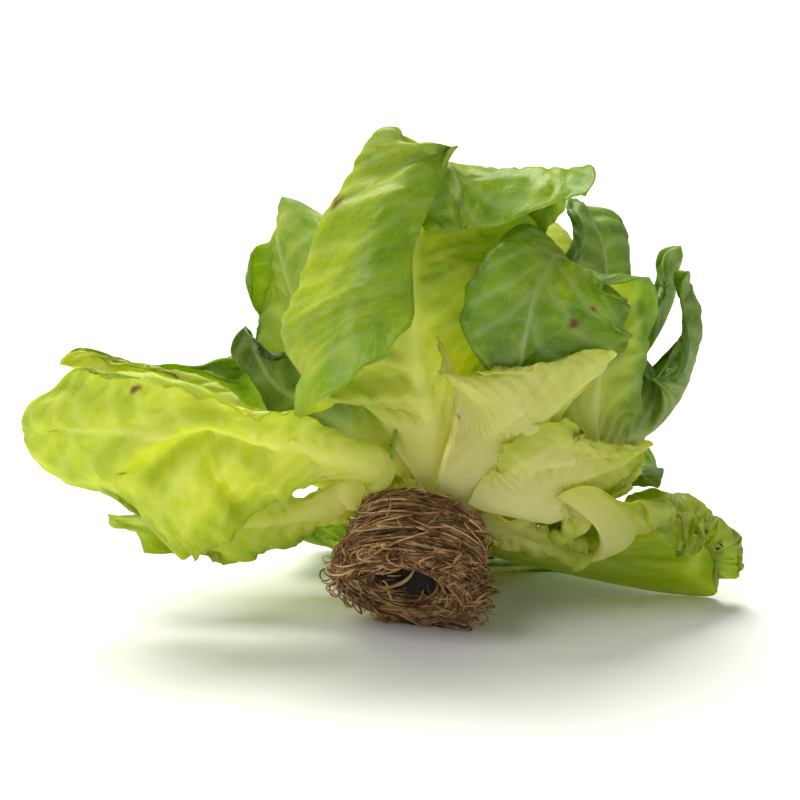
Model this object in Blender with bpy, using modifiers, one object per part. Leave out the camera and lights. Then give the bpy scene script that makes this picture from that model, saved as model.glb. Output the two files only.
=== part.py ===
"""A head of butterhead lettuce, sold with its roots on, leaning back on its outer leaves.

The plant is a root ball, a short stem and the leaves that grow from the stem in a spiral, each its own
solid. Every leaf is one blade formula: a midrib through a few points, a width on each side of it, and a
cross-section that cups towards the heart or rolls outwards at its margin. The leaves are then settled one
by one, from the heart outwards, so that each lies clear of those inside it.

Lengths are in millimetres until the meshes are made. X is to the right, Y away from the front, Z up, and
the finished head is moved so that the origin is at the middle of its footprint on the surface.
"""

import math

import bpy
import numpy as np
from mathutils import Matrix, Vector
from mathutils.bvhtree import BVHTree

MM = 0.001

# The root ball: a plug of coiled roots, a truncated cone with a hollow in its underside.
BALL_TOP_RADIUS = 24.5
BALL_FOOT_RADIUS = 31.5
BALL_LENGTH = 34.0
BALL_ROUNDING = 5.0
HOLLOW_RADIUS = 13.0
HOLLOW_DEPTH = 7.0
BALL_SIDES = 28
TOP_CORNER = 3.0

# The head leans back from the upright by this much, and a little to the right.
LEAN_BACK = math.radians(42)
LEAN_RIGHT = math.radians(12)
CROWN = np.array([5.6, -0.7, 44.2])  # where the stem leaves the root ball

STEM_FOOT_RADIUS = 8.0
STEM_TOP_RADIUS = 3.5
STEM_LENGTH = 34.0
STEM_SHOULDER = 6.0  # the height up to which the stem is as thick as at its foot
STEM_TIP = 2.0
STEM_SIDES = 16
HEART_HEIGHT = 84.0  # from the crown to the middle of the head, along the stem's line
CORE_LOW = -BALL_LENGTH

LEAF_THICKNESS = 0.9
LEAF_GAP = 2.4  # between the middle surfaces of neighbouring leaves
TOUCHING_GAP = 0.3

TIP_ROUNDING = 0.24
SMOOTHING_ROUNDS = 4
ROWS = (0, 0.1, 0.22, 0.35, 0.48, 0.6, 0.72, 0.83, 0.92, 1.0)
COLUMNS = (-1, -0.86, -0.7, -0.5, -0.25, 0, 0.25, 0.5, 0.7, 0.86, 1)

LEAF_GREEN = (0.20, 0.42, 0.02, 1)
HEART_GREEN = (0.42, 0.60, 0.08, 1)
STEM_CREAM = (0.62, 0.66, 0.36, 1)
ROOT_BROWN = (0.16, 0.085, 0.035, 1)


def unit(vector):
    return vector / np.linalg.norm(vector, axis=-1, keepdims=True)


AXIS = unit(np.array([math.tan(LEAN_RIGHT), math.sin(LEAN_BACK), math.cos(LEAN_BACK)]))
RIGHT = unit(np.array([1.0, 0, 0]) - AXIS[0] * AXIS)
FRONT = np.cross(RIGHT, AXIS)  # square to the stem, towards the front and upwards
FRONT = FRONT if FRONT[1] < 0 else -FRONT


def around_stem(azimuth, radius, height):
    """A point by its angle round the stem (0 right, 90 front, 180 left, 270 back), in degrees."""
    angle = math.radians(azimuth)
    sideways = math.cos(angle) * RIGHT + math.sin(angle) * FRONT
    return CROWN + height * AXIS + radius * sideways


# The leaves. grows: the angle and height on the stem. rib: the midrib's points after that, to the tip.
# left, right: the width of each half at even stations from base to tip, seen from outside with the tip up.
# cup, roll: how far each half bends towards the heart, and how far its margin rolls outwards, in degrees.
# span: the part of the half-width in which it rolls. rounding: how far the tip's corners draw back.
# face: which way the upper side looks, where it isn't towards the heart. wave: the ruffle's height, count
# and phase. layer: the order in which leaves are settled, from inside to out. spreading: the leaf lies
# flat, so it moves away from its upper side and not from the core. reach: how far out, in millimetres, it
# may be pushed over a leaf inside it; a leaf further in the way than that stays outside it.
HERO_LEAVES = [
    dict(
        name="front_leaf", layer=30, grows=(97, 9),
        rib=[(9, -16, 84), (3, -25, 110), (1, -27, 134), (1, -21, 156), (6, -9, 178), (9, -2, 192),
             (16, -22, 188), (21, -31, 166)],
        face=[(0, 0.7, 0.7), (0, 0.9, 0.3), (0, 1, 0.1), (0, 0.6, 0.8), (0, -1, 0.1)],
        left=(7, 26, 44, 104, 88, 74, 60, 24, 14), right=(7, 22, 34, 44, 46, 50, 56, 60, 46),
        cup_left=(70, 50, 10, 0, 0, 0, 0, 0, 0), cup_right=(70, 50, 50, 40, 30, 10, -40, -40, 0),
        roll_left=(0, 0, 40, 160, 165, 160, 140, 60, 0), span=(0.35, 0.6), rounding=0,
        wave=(3, 5, 0.4),
    ),
    dict(
        name="front_right_leaf", layer=32, grows=(42, 9),
        rib=[(62, -4, 66), (68, -8, 92), (70, -8, 118), (67, -4, 139), (57, -10, 151), (48, -28, 144),
             (43, -34, 123), (40, -32, 100)],
        face=[(0, 0.7, 0.7), (-0.2, 0.9, 0.3), (-0.2, 1, 0), (-0.1, 1, 0.2), (0, -0.2, 1), (0, -1, 0.1),
              (0, -1, -0.1)],
        left=(7, 18, 28, 32, 34, 30, 24, 28, 3), right=(7, 16, 22, 24, 26, 30, 38, 40, 3),
        cup_left=(60, 40, 30, 20, 10, -10, -20, -20, 0), cup_right=(60, 40, 30, 20, 10, -10, -25, -25, 0),
        rounding=0, wave=(2, 5, 0.4),
    ),
    dict(
        name="front_pale_leaf", layer=34, grows=(80, 5), reach=12,
        rib=[(36, -18, 73), (50, -23, 90), (61, -24, 104), (67, -22, 112)],
        left=(7, 36, 38, 34, 14), right=(7, 18, 12, 8, 4),
        cup_left=(70, 40, 30, 20, 10), cup_right=(70, 30, 20, 10, 0), wave=(2, 4, 0.2),
    ),
    dict(
        name="right_pale_leaf", layer=36, grows=(12, 5), spreading=True,
        rib=[(48, -14, 64), (67, -16, 65), (85, -14, 70), (96, -10, 77)],
        face=[(0, 0.7, 0.7), (0, 0.8, 0.6), (-0.3, 0.8, 0.4)],
        left=(7, 14, 24, 26, 14), right=(7, 14, 24, 26, 12),
        cup_left=(60, 20, 10, 0, 0), cup_right=(60, 40, 40, 40, 30), wave=(3, 4, 2.0),
    ),
    dict(
        name="right_drooping_leaf", layer=37, grows=(352, 9), spreading=True,
        rib=[(62, 14, 57), (92, 30, 60), (119, 40, 51), (134, 40, 28), (132, 36, -2)],
        face=[(0, 0.3, 0.9), (0.2, 0.1, 0.9), (0.9, 0.2, 0.4), (1, 0.1, 0.1)],
        left=(7, 26, 50, 46, 18), right=(7, 30, 42, 30, 14),
        cup_left=(50, -10, -50, -50, -20), cup_right=(50, -30, -70, -60, -20), wave=(4, 5, 0.9),
    ),
    dict(
        name="right_cupped_leaf", layer=26, grows=(20, 14),
        rib=[(61, 10, 74), (91, 24, 75), (110, 30, 91), (116, 28, 116), (110, 22, 142)],
        left=(7, 22, 34, 34, 16), right=(7, 22, 34, 34, 16),
        cup_left=(60, 60, 60, 50, 30), cup_right=(60, 60, 60, 50, 30), wave=(3, 6, 0.1),
    ),
    dict(
        name="right_back_leaf", layer=22, grows=(5, 18),
        rib=[(54, 20, 80), (88, 40, 97), (106, 50, 121), (109, 55, 148)],
        left=(7, 24, 34, 34, 18), right=(7, 24, 34, 34, 18),
        cup_left=(60, 50, 50, 40, 20), cup_right=(60, 50, 50, 40, 20), wave=(3, 5, 2.2),
    ),
    dict(
        name="upper_right_leaf", layer=20, grows=(55, 19),
        rib=[(54, 6, 88), (75, 14, 115), (80, 20, 140), (77, 28, 160), (70, 40, 170)],
        left=(7, 24, 40, 42, 28), right=(7, 28, 40, 40, 26),
        cup_left=(60, 50, 40, 30, 10), cup_right=(60, 60, 60, 50, 20), wave=(3, 5, 0.7),
    ),
    dict(
        name="upper_left_leaf", layer=18, grows=(140, 16),
        rib=[(-4, 0, 77), (-26, 4, 98), (-43, 8, 124), (-50, 14, 150), (-49, 26, 169)],
        left=(7, 28, 46, 36, 20), right=(7, 26, 44, 46, 28),
        cup_left=(60, 30, 20, 10, 0), cup_right=(60, 50, 40, 30, 10), wave=(4, 5, 0.3),
    ),
    dict(
        name="left_inner_leaf", layer=24, grows=(155, 14),
        rib=[(-10, -2, 73), (-38, 4, 88), (-58, 10, 101), (-69, 16, 119)],
        left=(7, 16, 22, 20, 10), right=(7, 20, 24, 22, 12),
        cup_left=(50, 30, 30, 20, 10), cup_right=(50, 40, 30, 20, 10), wave=(3, 4, 1.9),
    ),
    dict(
        name="left_spread_leaf", layer=40, grows=(160, 5), spreading=True, reach=10,
        rib=[(-10, -17, 66), (-43, -27, 78), (-81, -32, 86), (-117, -24, 86), (-152, -8, 84)],
        face=[(0.1, 0.8, 0.6), (0.1, 0.9, 0.4), (0.15, 0.95, 0.2), (0.3, 0.9, 0.2)],
        left=(7, 16, 44, 58, 40), right=(7, 10, 18, 34, 26),
        cup_left=(30, 10, 0, 10, 20), cup_right=(30, 20, 20, 20, 20),
        roll_right=(0, 0, 80, 120, 60), span=(0.5, 0.9), wave=(3, 5, 1.2),
    ),
    dict(
        name="left_tip_leaf", layer=36, grows=(180, 11), spreading=True,
        rib=[(-32, 12, 70), (-85, 28, 88), (-122, 22, 101), (-142, 16, 108)],
        face=[(0.2, 0.6, 0.7), (0.1, 0.8, 0.6), (0.2, 0.9, 0.3)],
        left=(7, 16, 22, 20, 10), right=(7, 12, 12, 10, 6),
        cup_left=(40, 20, 20, 20, 10), cup_right=(40, 20, 30, 30, 20), wave=(3, 4, 0.2),
    ),
    dict(
        name="left_low_leaf", layer=37, grows=(202, 4), spreading=True,
        rib=[(-18, 0, 48), (-45, 6, 43), (-82, 12, 37), (-126, 18, 36)],
        face=[(0, 0.6, 0.8), (0, 0.8, 0.6), (0.2, 0.9, 0.4)],
        left=(7, 18, 24, 22, 12), right=(7, 12, 18, 18, 10),
        cup_left=(50, 10, 10, 20, 10), cup_right=(50, 20, 10, 10, 10), wave=(3, 4, 0.6),
    ),
    dict(
        name="low_right_leaf", layer=35, grows=(338, 3), spreading=True,
        rib=[(34, -2, 42), (52, 2, 34), (74, 8, 25)],
        face=[(0, 0.7, 0.7), (0, 0.7, 0.7), (0.2, 0.7, 0.6)],
        left=(7, 12, 14, 14, 8), right=(7, 12, 14, 14, 8),
        cup_left=(40, -10, -20, -20, 0), cup_right=(40, 0, 0, 0, 0), wave=(3, 5, 0.5),
    ),
    dict(
        name="right_folded_leaf", layer=25, grows=(40, 16),
        rib=[(58, 4, 76), (76, 5, 82), (83, 6, 93), (81, 10, 104)],
        left=(7, 10, 12, 11, 7), right=(7, 10, 12, 11, 7),
        cup_left=(60, 60, 60, 60, 40), cup_right=(60, 60, 60, 60, 40), wave=(2, 4, 0.8),
    ),
]

# The leaves that show only from behind or above: name, angle, height on the stem, and the midrib as
# (out from the stem's line, along it), then the widest half, the cup and the margin's roll.
BACK_LEAVES = [
    ("back_floor_leaf", 268, 4, ((60, 10), (98, 32), (122, 54), (136, 70)), 62, 20, 20, 41),
    ("back_left_leaf", 218, 5, ((50, 14), (84, 42), (98, 74), (96, 104)), 60, 40, 30, 36),
    ("back_right_leaf", 312, 6, ((50, 14), (84, 42), (98, 74), (94, 104)), 58, 40, 30, 34),
    ("back_upright_leaf", 255, 9, ((48, 20), (76, 52), (82, 86), (72, 116)), 58, 50, 20, 27),
]

# The heart: nested leaves, each turned by the golden angle from the last, from the outside in.
HEART_LEAVES = 8
GOLDEN_ANGLE = 137.5
HEART_FIRST_ANGLE = 285
HEART_OUTER_RADIUS = 66.0
HEART_STEP = 6.6


def back_leaf(row):
    name, azimuth, height, profile, half, cup, roll, layer = row
    rib = [tuple(around_stem(azimuth, out, along)) for out, along in profile]
    widths = (7, 0.5 * half, half, 0.95 * half, 0.4 * half)
    cups = (60, cup, cup, cup, 0.5 * cup)
    rolls = (0, 0, 0.6 * roll, roll, roll)
    return dict(
        name=name, layer=layer, grows=(azimuth, height), rib=rib, left=widths, right=widths,
        cup_left=cups, cup_right=cups, roll_left=rolls, roll_right=rolls, wave=(4, 6, 0.01 * azimuth),
    )


def heart_leaf(number):
    """Leaf number of the heart, 0 outside. It rises from the stem, swells and closes over the top."""
    radius = HEART_OUTER_RADIUS - HEART_STEP * number
    azimuth = HEART_FIRST_ANGLE + GOLDEN_ANGLE * number
    height = 12 + 2.4 * number
    profile = (
        (0.72 * radius, HEART_HEIGHT - 0.62 * radius),
        (1.00 * radius, HEART_HEIGHT + 0.05 * radius),
        (0.86 * radius, HEART_HEIGHT + 0.62 * radius),
        (0.42 * radius, HEART_HEIGHT + 0.96 * radius),
    )
    rib = [tuple(around_stem(azimuth, out, along)) for out, along in profile]
    widths = (6, 0.62 * radius, 1.0 * radius, 0.95 * radius, 0.4 * radius)
    cups = (60, 62, 66, 62, 40)
    return dict(
        name=f"heart_leaf_{number + 1}", layer=14 - number, grows=(azimuth, height), rib=rib,
        left=widths, right=widths, cup_left=cups, cup_right=cups, wave=(2.5, 6, 0.7 * number),
    )


def stations(values, where):
    """A smooth curve through evenly spaced values, read at where, from 0 to 1."""
    values = np.asarray(values, float)
    spans = len(values) - 1
    place = np.clip(where, 0, 1) * spans
    first = np.minimum(place.astype(int), spans - 1)
    share = place - first
    slope = np.gradient(values, axis=0)
    if values.ndim > 1:
        share = share[:, None]
    start, end = values[first], values[first + 1]
    return (
        (2 * share**3 - 3 * share**2 + 1) * start
        + (share**3 - 2 * share**2 + share) * slope[first]
        + (3 * share**2 - 2 * share**3) * end
        + (share**3 - share**2) * slope[first + 1]
    )


def smoothstep(low, high, value):
    share = np.clip((value - low) / (high - low), 0, 1)
    return share * share * (3 - 2 * share)


def core_foot(points):
    """The nearest points of the core, the line up the middle of the head that the leaves wrap round."""
    along = np.clip((points - CROWN) @ AXIS, CORE_LOW, HEART_HEIGHT)
    return CROWN + along[..., None] * AXIS


class Midrib:
    """A leaf's midrib, with the directions along it, across it and out of the blade's upper side."""

    SAMPLES = 81

    def __init__(self, leaf):
        azimuth, height = leaf["grows"]
        reach = STEM_FOOT_RADIUS + 2.2
        points = [around_stem(azimuth, reach, height), *map(np.array, leaf["rib"])]
        raw = stations(np.array(points), np.linspace(0, 1, 400))
        length = np.concatenate([[0], np.cumsum(np.linalg.norm(np.diff(raw, axis=0), axis=1))])
        self.length = length[-1]
        self.where = np.linspace(0, 1, self.SAMPLES)
        self.place = np.stack([np.interp(self.where * self.length, length, raw[:, k]) for k in range(3)], 1)
        self.along = unit(np.gradient(self.place, axis=0))
        inward = unit(core_foot(self.place) - self.place)
        if "face" in leaf:
            stated = unit(stations(np.array(leaf["face"], float), self.where))
            turned = smoothstep(0.0, 0.25, self.where)[:, None]
            inward = inward * (1 - turned) + stated * turned
        inward -= (inward * self.along).sum(1, keepdims=True) * self.along
        self.upper = unit(inward)
        self.across = np.cross(self.along, self.upper)

    def read(self, table, where):
        return np.stack([np.interp(where, self.where, table[:, k]) for k in range(3)], 1)


def blade(leaf, along, across):
    """Points of the leaf's middle surface. along is 0 to 1 up the rib, across -1 (right) to 1 (left)."""
    rib = leaf.setdefault("midrib", Midrib(leaf))
    share = np.abs(across)
    is_left = across > 0

    def side(left_name, right_name):
        left = stations(leaf.get(left_name, (0, 0)), along)
        right = stations(leaf.get(right_name, (0, 0)), along)
        return np.where(is_left, left, right)

    width = side("left", "right")
    cup = np.radians(side("cup_left", "cup_right"))
    roll = np.radians(side("roll_left", "roll_right"))
    drawn_back = leaf.get("rounding", TIP_ROUNDING) * along**2
    where = np.maximum(along - drawn_back * share**2.2, 0)
    roll_from, roll_to = leaf.get("span", (0.5, 0.85))
    steps = (np.arange(20) + 0.5) / 20
    shares = share[:, None] * steps
    angle = cup[:, None] * shares - roll[:, None] * smoothstep(roll_from, roll_to, shares)
    outward = width * share * np.cos(angle).mean(1)
    upward = width * share * np.sin(angle).mean(1)
    sign = np.where(is_left, 1.0, -1.0)
    place = rib.read(rib.place, where)
    return (
        place
        + (sign * outward)[:, None] * rib.read(rib.across, where)
        + upward[:, None] * rib.read(rib.upper, where)
    )


def ruffle(leaf, along, across):
    """How far the margin waves out of the blade, in millimetres."""
    height, count, phase = leaf["wave"]
    turn = np.arctan2(across, 2.2 * (along - 0.45))
    edge = np.maximum(np.abs(across) ** 2.5, smoothstep(0.6, 1.0, along)) * smoothstep(0.05, 0.4, along)
    return height * edge * (np.sin(count * turn + 6.3 * phase) + 0.5 * np.sin(2.3 * count * turn + 9 * phase))


def grid_of(rows, columns):
    along, across = np.meshgrid(rows, columns, indexing="ij")
    return along.ravel(), across.ravel()


def normals_of(points, shape):
    net = points.reshape(*shape, 3)
    return unit(np.cross(np.gradient(net, axis=0), np.gradient(net, axis=1)) + 1e-9).reshape(-1, 3)


def leaf_points(leaf, rows=ROWS, columns=COLUMNS):
    along, across = grid_of(rows, columns)
    points = blade(leaf, along, across)
    normals = normals_of(points, (len(rows), len(columns)))
    return points + ruffle(leaf, along, across)[:, None] * normals


def quads(rows, columns):
    faces = []
    for row in range(rows - 1):
        for column in range(columns - 1):
            first = row * columns + column
            faces.append((first, first + 1, first + columns + 1, first + columns))
    return faces


def tree_of(points, faces):
    return BVHTree.FromPolygons([Vector(p) for p in points], faces)


def outward(leaf, points, along):
    """Which way is out for each point: away from the core, or away from a spreading leaf's upper side."""
    radial = unit(points - core_foot(points))
    if not leaf.get("spreading"):
        return radial
    share = smoothstep(0.15, 0.45, along)[:, None]
    return unit((1 - share) * radial - share * leaf["midrib"].read(leaf["midrib"].upper, along))


def furthest_hit(tree, start, direction, reach):
    """How far along this line the surface was last met, looking no further than reach, or None."""
    found, gone = None, 0.0
    while True:
        _, _, _, distance = tree.ray_cast(Vector(start + direction * gone), Vector(direction), reach - gone)
        if distance is None:
            return found
        found = gone + distance
        gone = found + 0.05


def push_out(points, ways, inner, faces, gap, reach):
    """How far each point has to move out, along its own way, to clear the inner leaves."""
    need = np.zeros(len(points))
    for _, _, tree in inner:
        for index, (point, way) in enumerate(zip(points, ways)):
            hit = furthest_hit(tree, point - gap * way, way, reach + gap)
            if hit is not None:
                need[index] = max(need[index], hit)
            _, _, _, near = tree.find_nearest(Vector(point), gap)
            if near is not None:
                need[index] = max(need[index], 0.8 * (gap - near))
    own = tree_of(points, faces)
    for others, other_ways, _ in inner:
        backs = np.minimum(reach, np.linalg.norm(others - core_foot(others), axis=1))
        for point, way, back in zip(others, other_ways, backs):
            _, _, face, hit = own.ray_cast(Vector(point - back * way), Vector(way), back + gap)
            if hit is not None:
                for index in faces[face]:
                    need[index] = max(need[index], back + gap - hit)
    return need


def spread(values, shape, times):
    """Smooths values over the blade's grid."""
    net = values.reshape(*shape, -1)
    for _ in range(times):
        padded = np.pad(net, ((1, 1), (1, 1), (0, 0)), mode="edge")
        ring = padded[:-2, 1:-1] + padded[2:, 1:-1] + padded[1:-1, :-2] + padded[1:-1, 2:]
        net = 0.5 * net + 0.125 * ring
    return net.reshape(len(values), -1)


def ball_tree(gap):
    """The root ball's side and top, grown by gap."""
    sizes = ((BALL_FOOT_RADIUS + gap, -BALL_LENGTH - gap), (BALL_TOP_RADIUS + gap, gap), (1, gap))
    rings = [[around_stem(15 * k, radius, height) for k in range(24)] for radius, height in sizes]
    corners = [corner for ring in rings for corner in ring]
    sides = [(24 * r + k, 24 * r + (k + 1) % 24, 24 * r + 24 + (k + 1) % 24, 24 * r + 24 + k)
             for r in range(len(sizes) - 1) for k in range(24)]
    return tree_of(corners, sides)


def clear_of_ball(points, gap):
    """Lifts points that would lie in the root ball or under its top face."""
    height = (points - CROWN) @ AXIS
    radial = points - CROWN - height[:, None] * AXIS
    radius = np.linalg.norm(radial, axis=1)
    share = np.clip(-height / BALL_LENGTH, 0, 1)
    wall = BALL_TOP_RADIUS + (BALL_FOOT_RADIUS - BALL_TOP_RADIUS) * share + gap
    up = gap - height
    out = wall - radius
    inside = (up > 0) & (out > 0) & (height > -BALL_LENGTH - gap)
    lift = np.where(inside & (up <= out), up, 0)
    side = np.where(inside & (up > out), out, 0)
    return points + lift[:, None] * AXIS + side[:, None] * unit(radial + 1e-9)


def skins(points, shape, faces):
    """The leaf's two faces, either side of its middle surface, as one tree."""
    offset = normals_of(points, shape) * (LEAF_THICKNESS / 2 + 0.4)
    both = np.concatenate([points + offset, points - offset])
    return tree_of(both, faces + [tuple(k + len(points) for k in face) for face in faces])


def settle(leaf, inner, shape, faces):
    """The leaf's points and ways out, once it lies clear of the inner leaves, the ball and the surface."""
    points = leaf_points(leaf)
    along = np.repeat(ROWS, shape[1])
    for step in range(14):
        ways = outward(leaf, points, along)
        need = push_out(points, ways, inner, faces, LEAF_GAP, leaf.get("reach", 22.0))
        move = need[:, None] * ways
        eased = spread(move, shape, 2)
        share = min(step / 10, 1)
        points = clear_of_ball(points + (1 - share) * eased + share * move, LEAF_GAP)
        points[:, 2] = np.maximum(points[:, 2], LEAF_THICKNESS / 2)
        if need.max() < 0.05:
            break
    return points, outward(leaf, points, along)


def untangle(settled, shape, faces):
    """Parts the faces that still cross: the outer leaf moves out, and every third time the inner moves in."""
    may_move_in = np.repeat(ROWS, shape[1]) > 0.15
    ball = ball_tree(1.0)
    for turn in range(120):
        trees = [skins(points, shape, faces) for _, points, _ in settled]
        moves = [np.zeros(len(points)) for _, points, _ in settled]
        for tree, move in zip(trees, moves):
            for _, high in ball.overlap(tree):
                move[list(faces[high % len(faces)])] += 3
        for inner in range(len(settled)):
            for outer in range(inner + 1, len(settled)):
                for low, high in trees[inner].overlap(trees[outer]):
                    moves[outer][list(faces[high % len(faces)])] += 1
                    if turn % 3 == 2:
                        moves[inner][list(faces[low % len(faces)])] -= 1
        if not any(move.any() for move in moves):
            print("the leaves lie clear of each other after", turn, "turns")
            break
        for (_, points, ways), move in zip(settled, moves):
            step = np.where((move < 0) & ~may_move_in, 0, np.sign(move))
            eased = np.clip(3 * spread(step, shape, 2)[:, 0], -0.8 * may_move_in, 0.8)
            step = np.where(step == 0, eased, step)
            points += 0.6 * step[:, None] * ways
            points[:] = clear_of_ball(points, LEAF_GAP)
            points[:, 2] = np.maximum(points[:, 2], LEAF_THICKNESS / 2)


def all_leaves():
    leaves = [*HERO_LEAVES, *map(back_leaf, BACK_LEAVES), *map(heart_leaf, range(HEART_LEAVES))]
    return sorted(leaves, key=lambda leaf: leaf["layer"])


def settled_leaves():
    """Every leaf with its points, from the heart outwards."""
    shape = (len(ROWS), len(COLUMNS))
    faces = quads(*shape)
    inner, settled = [], []
    for leaf in all_leaves():
        points, ways = settle(leaf, inner, shape, faces)
        inner.append((points, ways, tree_of(points, faces)))
        settled.append((leaf, points, ways))
    for _ in range(SMOOTHING_ROUNDS):
        untangle(settled, shape, faces)
        for leaf, points, _ in settled:
            formed = leaf_points(leaf)
            points[:] = clear_of_ball(formed + spread(points - formed, shape, 2), LEAF_GAP)
            points[:, 2] = np.maximum(points[:, 2], LEAF_THICKNESS / 2)
    untangle(settled, shape, faces)
    return [(leaf, points) for leaf, points, _ in settled]


def material(name, colour, roughness):
    made = bpy.data.materials.new(name)
    made.use_nodes = True
    shader = made.node_tree.nodes["Principled BSDF"]
    shader.inputs["Base Color"].default_value = colour
    shader.inputs["Roughness"].default_value = roughness
    return made


def add_object(name, mesh, collection, finish):
    made = bpy.data.objects.new(name, mesh)
    made.data.materials.append(finish)
    collection.objects.link(made)
    return made


def leaf_object(leaf, points, collection, finish):
    """A thin closed blade: the leaf's middle surface, given its thickness."""
    mesh = bpy.data.meshes.new(leaf["name"])
    mesh.from_pydata([tuple(p * MM) for p in points], [], quads(len(ROWS), len(COLUMNS)))
    made = add_object(leaf["name"], mesh, collection, finish)
    thicken = made.modifiers.new("thickness", "SOLIDIFY")
    thicken.thickness = LEAF_THICKNESS * MM
    thicken.offset = 0
    return made


def turned_object(name, profile, sides, collection, finish):
    """A solid of revolution about the stem's line. The profile is (radius, height above the crown)."""
    mesh = bpy.data.meshes.new(name)
    corners = [(radius * MM, 0, height * MM) for radius, height in profile]
    mesh.from_pydata(corners, [(k, k + 1) for k in range(len(corners) - 1)], [])
    made = add_object(name, mesh, collection, finish)
    turn = made.modifiers.new("turn", "SCREW")
    turn.steps = sides
    turn.render_steps = sides
    turn.use_merge_vertices = True
    turn.merge_threshold = 0.05 * MM
    made.matrix_world = Matrix.Translation(CROWN * MM) @ Matrix(np.array([RIGHT, -FRONT, AXIS]).T).to_4x4()
    return made


def rest_on_surface(objects):
    """Moves every object so that the origin is at the middle of the head's footprint."""
    bpy.context.view_layer.update()
    depsgraph = bpy.context.evaluated_depsgraph_get()
    corners = []
    for made in objects:
        shape = made.evaluated_get(depsgraph).to_mesh()
        corners += [made.matrix_world @ vertex.co for vertex in shape.vertices]
    low = [min(corner[k] for corner in corners) for k in range(3)]
    high = [max(corner[k] for corner in corners) for k in range(3)]
    print("size in mm", [round(1000 * (high[k] - low[k]), 1) for k in range(3)])
    shift = Matrix.Translation((-(low[0] + high[0]) / 2, -(low[1] + high[1]) / 2, -low[2]))
    for made in objects:
        made.matrix_world = shift @ made.matrix_world


# The outlines of the turned parts, from the top down the outer side: radius, height above the crown.
BALL_PROFILE = [
    (0, 0),
    (BALL_TOP_RADIUS - TOP_CORNER, 0),
    (BALL_TOP_RADIUS, -TOP_CORNER),
    (BALL_FOOT_RADIUS, -BALL_LENGTH + BALL_ROUNDING),
    (BALL_FOOT_RADIUS - 0.3 * BALL_ROUNDING, -BALL_LENGTH + 0.3 * BALL_ROUNDING),
    (BALL_FOOT_RADIUS - BALL_ROUNDING, -BALL_LENGTH),
    (HOLLOW_RADIUS, -BALL_LENGTH),
    (0.5 * HOLLOW_RADIUS, -BALL_LENGTH + HOLLOW_DEPTH),
    (0, -BALL_LENGTH + HOLLOW_DEPTH),
]
STEM_PROFILE = [
    (0, STEM_LENGTH + STEM_TIP),
    (STEM_TOP_RADIUS, STEM_LENGTH),
    (STEM_FOOT_RADIUS, STEM_SHOULDER),
    (STEM_FOOT_RADIUS, TOUCHING_GAP),
    (0, TOUCHING_GAP),
]


def main():
    for old in list(bpy.data.objects):
        bpy.data.objects.remove(old)
    head = bpy.data.collections.new("lettuce_head")
    bpy.context.scene.collection.children.link(head)
    green = material("leaf_green", LEAF_GREEN, 0.45)
    pale = material("heart_green", HEART_GREEN, 0.45)
    cream = material("stem_cream", STEM_CREAM, 0.5)
    brown = material("root_brown", ROOT_BROWN, 0.9)
    made = []
    for leaf, points in settled_leaves():
        made.append(leaf_object(leaf, points, head, pale if "heart" in leaf["name"] else green))
    made.append(turned_object("root_ball", BALL_PROFILE, BALL_SIDES, head, brown))
    made.append(turned_object("stem", STEM_PROFILE, STEM_SIDES, head, cream))
    rest_on_surface(made)


main()
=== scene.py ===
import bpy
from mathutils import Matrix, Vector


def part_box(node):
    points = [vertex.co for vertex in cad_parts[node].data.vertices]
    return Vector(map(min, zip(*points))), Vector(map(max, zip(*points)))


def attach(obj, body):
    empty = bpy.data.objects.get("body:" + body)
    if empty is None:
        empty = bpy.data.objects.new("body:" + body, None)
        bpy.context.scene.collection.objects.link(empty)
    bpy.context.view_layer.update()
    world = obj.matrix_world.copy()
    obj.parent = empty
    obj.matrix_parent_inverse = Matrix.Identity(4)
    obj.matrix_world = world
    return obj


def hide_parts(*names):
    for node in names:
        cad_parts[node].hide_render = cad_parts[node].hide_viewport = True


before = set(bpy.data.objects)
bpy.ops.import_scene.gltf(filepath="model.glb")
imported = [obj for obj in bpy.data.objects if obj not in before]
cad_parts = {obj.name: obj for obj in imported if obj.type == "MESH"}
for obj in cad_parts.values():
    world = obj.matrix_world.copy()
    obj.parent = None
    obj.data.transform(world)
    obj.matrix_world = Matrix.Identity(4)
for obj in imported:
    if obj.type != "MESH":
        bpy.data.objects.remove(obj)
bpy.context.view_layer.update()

# %% [markdown]
# # A head of butterhead lettuce, sold with its roots on
#
# The head leans back on its outer leaves, with its root plug to the front. It is a root plug, a short
# stem, and leaves that grow from the stem in a spiral. The frame already holds each leaf as a coarse
# plate that lies clear of its neighbours. Here every leaf becomes a thin, quilted, veined blade that
# follows its own plate, and the root plug is wound from hundreds of separate roots.
#
# Numbers are in millimetres until a mesh is made. X is to the right, Y goes away, Z is up.

# %% Shared helpers
import math

import bmesh
import bpy
import numpy as np
from mathutils import Matrix

MM = 0.001


def linear(hex_colour):
    """An sRGB hex colour as the linear RGBA that shaders use."""
    parts = [int(hex_colour[k:k + 2], 16) / 255 for k in (1, 3, 5)]
    return [p / 12.92 if p <= 0.04045 else ((p + 0.055) / 1.055) ** 2.4 for p in parts] + [1]


def add_node(tree, kind, settings=None, inputs=None):
    """Adds a node, sets its properties, and fills or links its inputs."""
    made = tree.nodes.new(kind)
    for key, value in (settings or {}).items():
        setattr(made, key, value)
    for key, value in (inputs or {}).items():
        if isinstance(value, bpy.types.NodeSocket):
            tree.links.new(value, made.inputs[key])
        else:
            made.inputs[key].default_value = value
    return made


def unit(vector):
    return vector / np.linalg.norm(vector, axis=-1, keepdims=True)


def smoothstep(low, high, value):
    share = np.clip((value - low) / (high - low), 0, 1)
    return share * share * (3 - 2 * share)


def mix(first, second, share):
    return first + (second - first) * share


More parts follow.
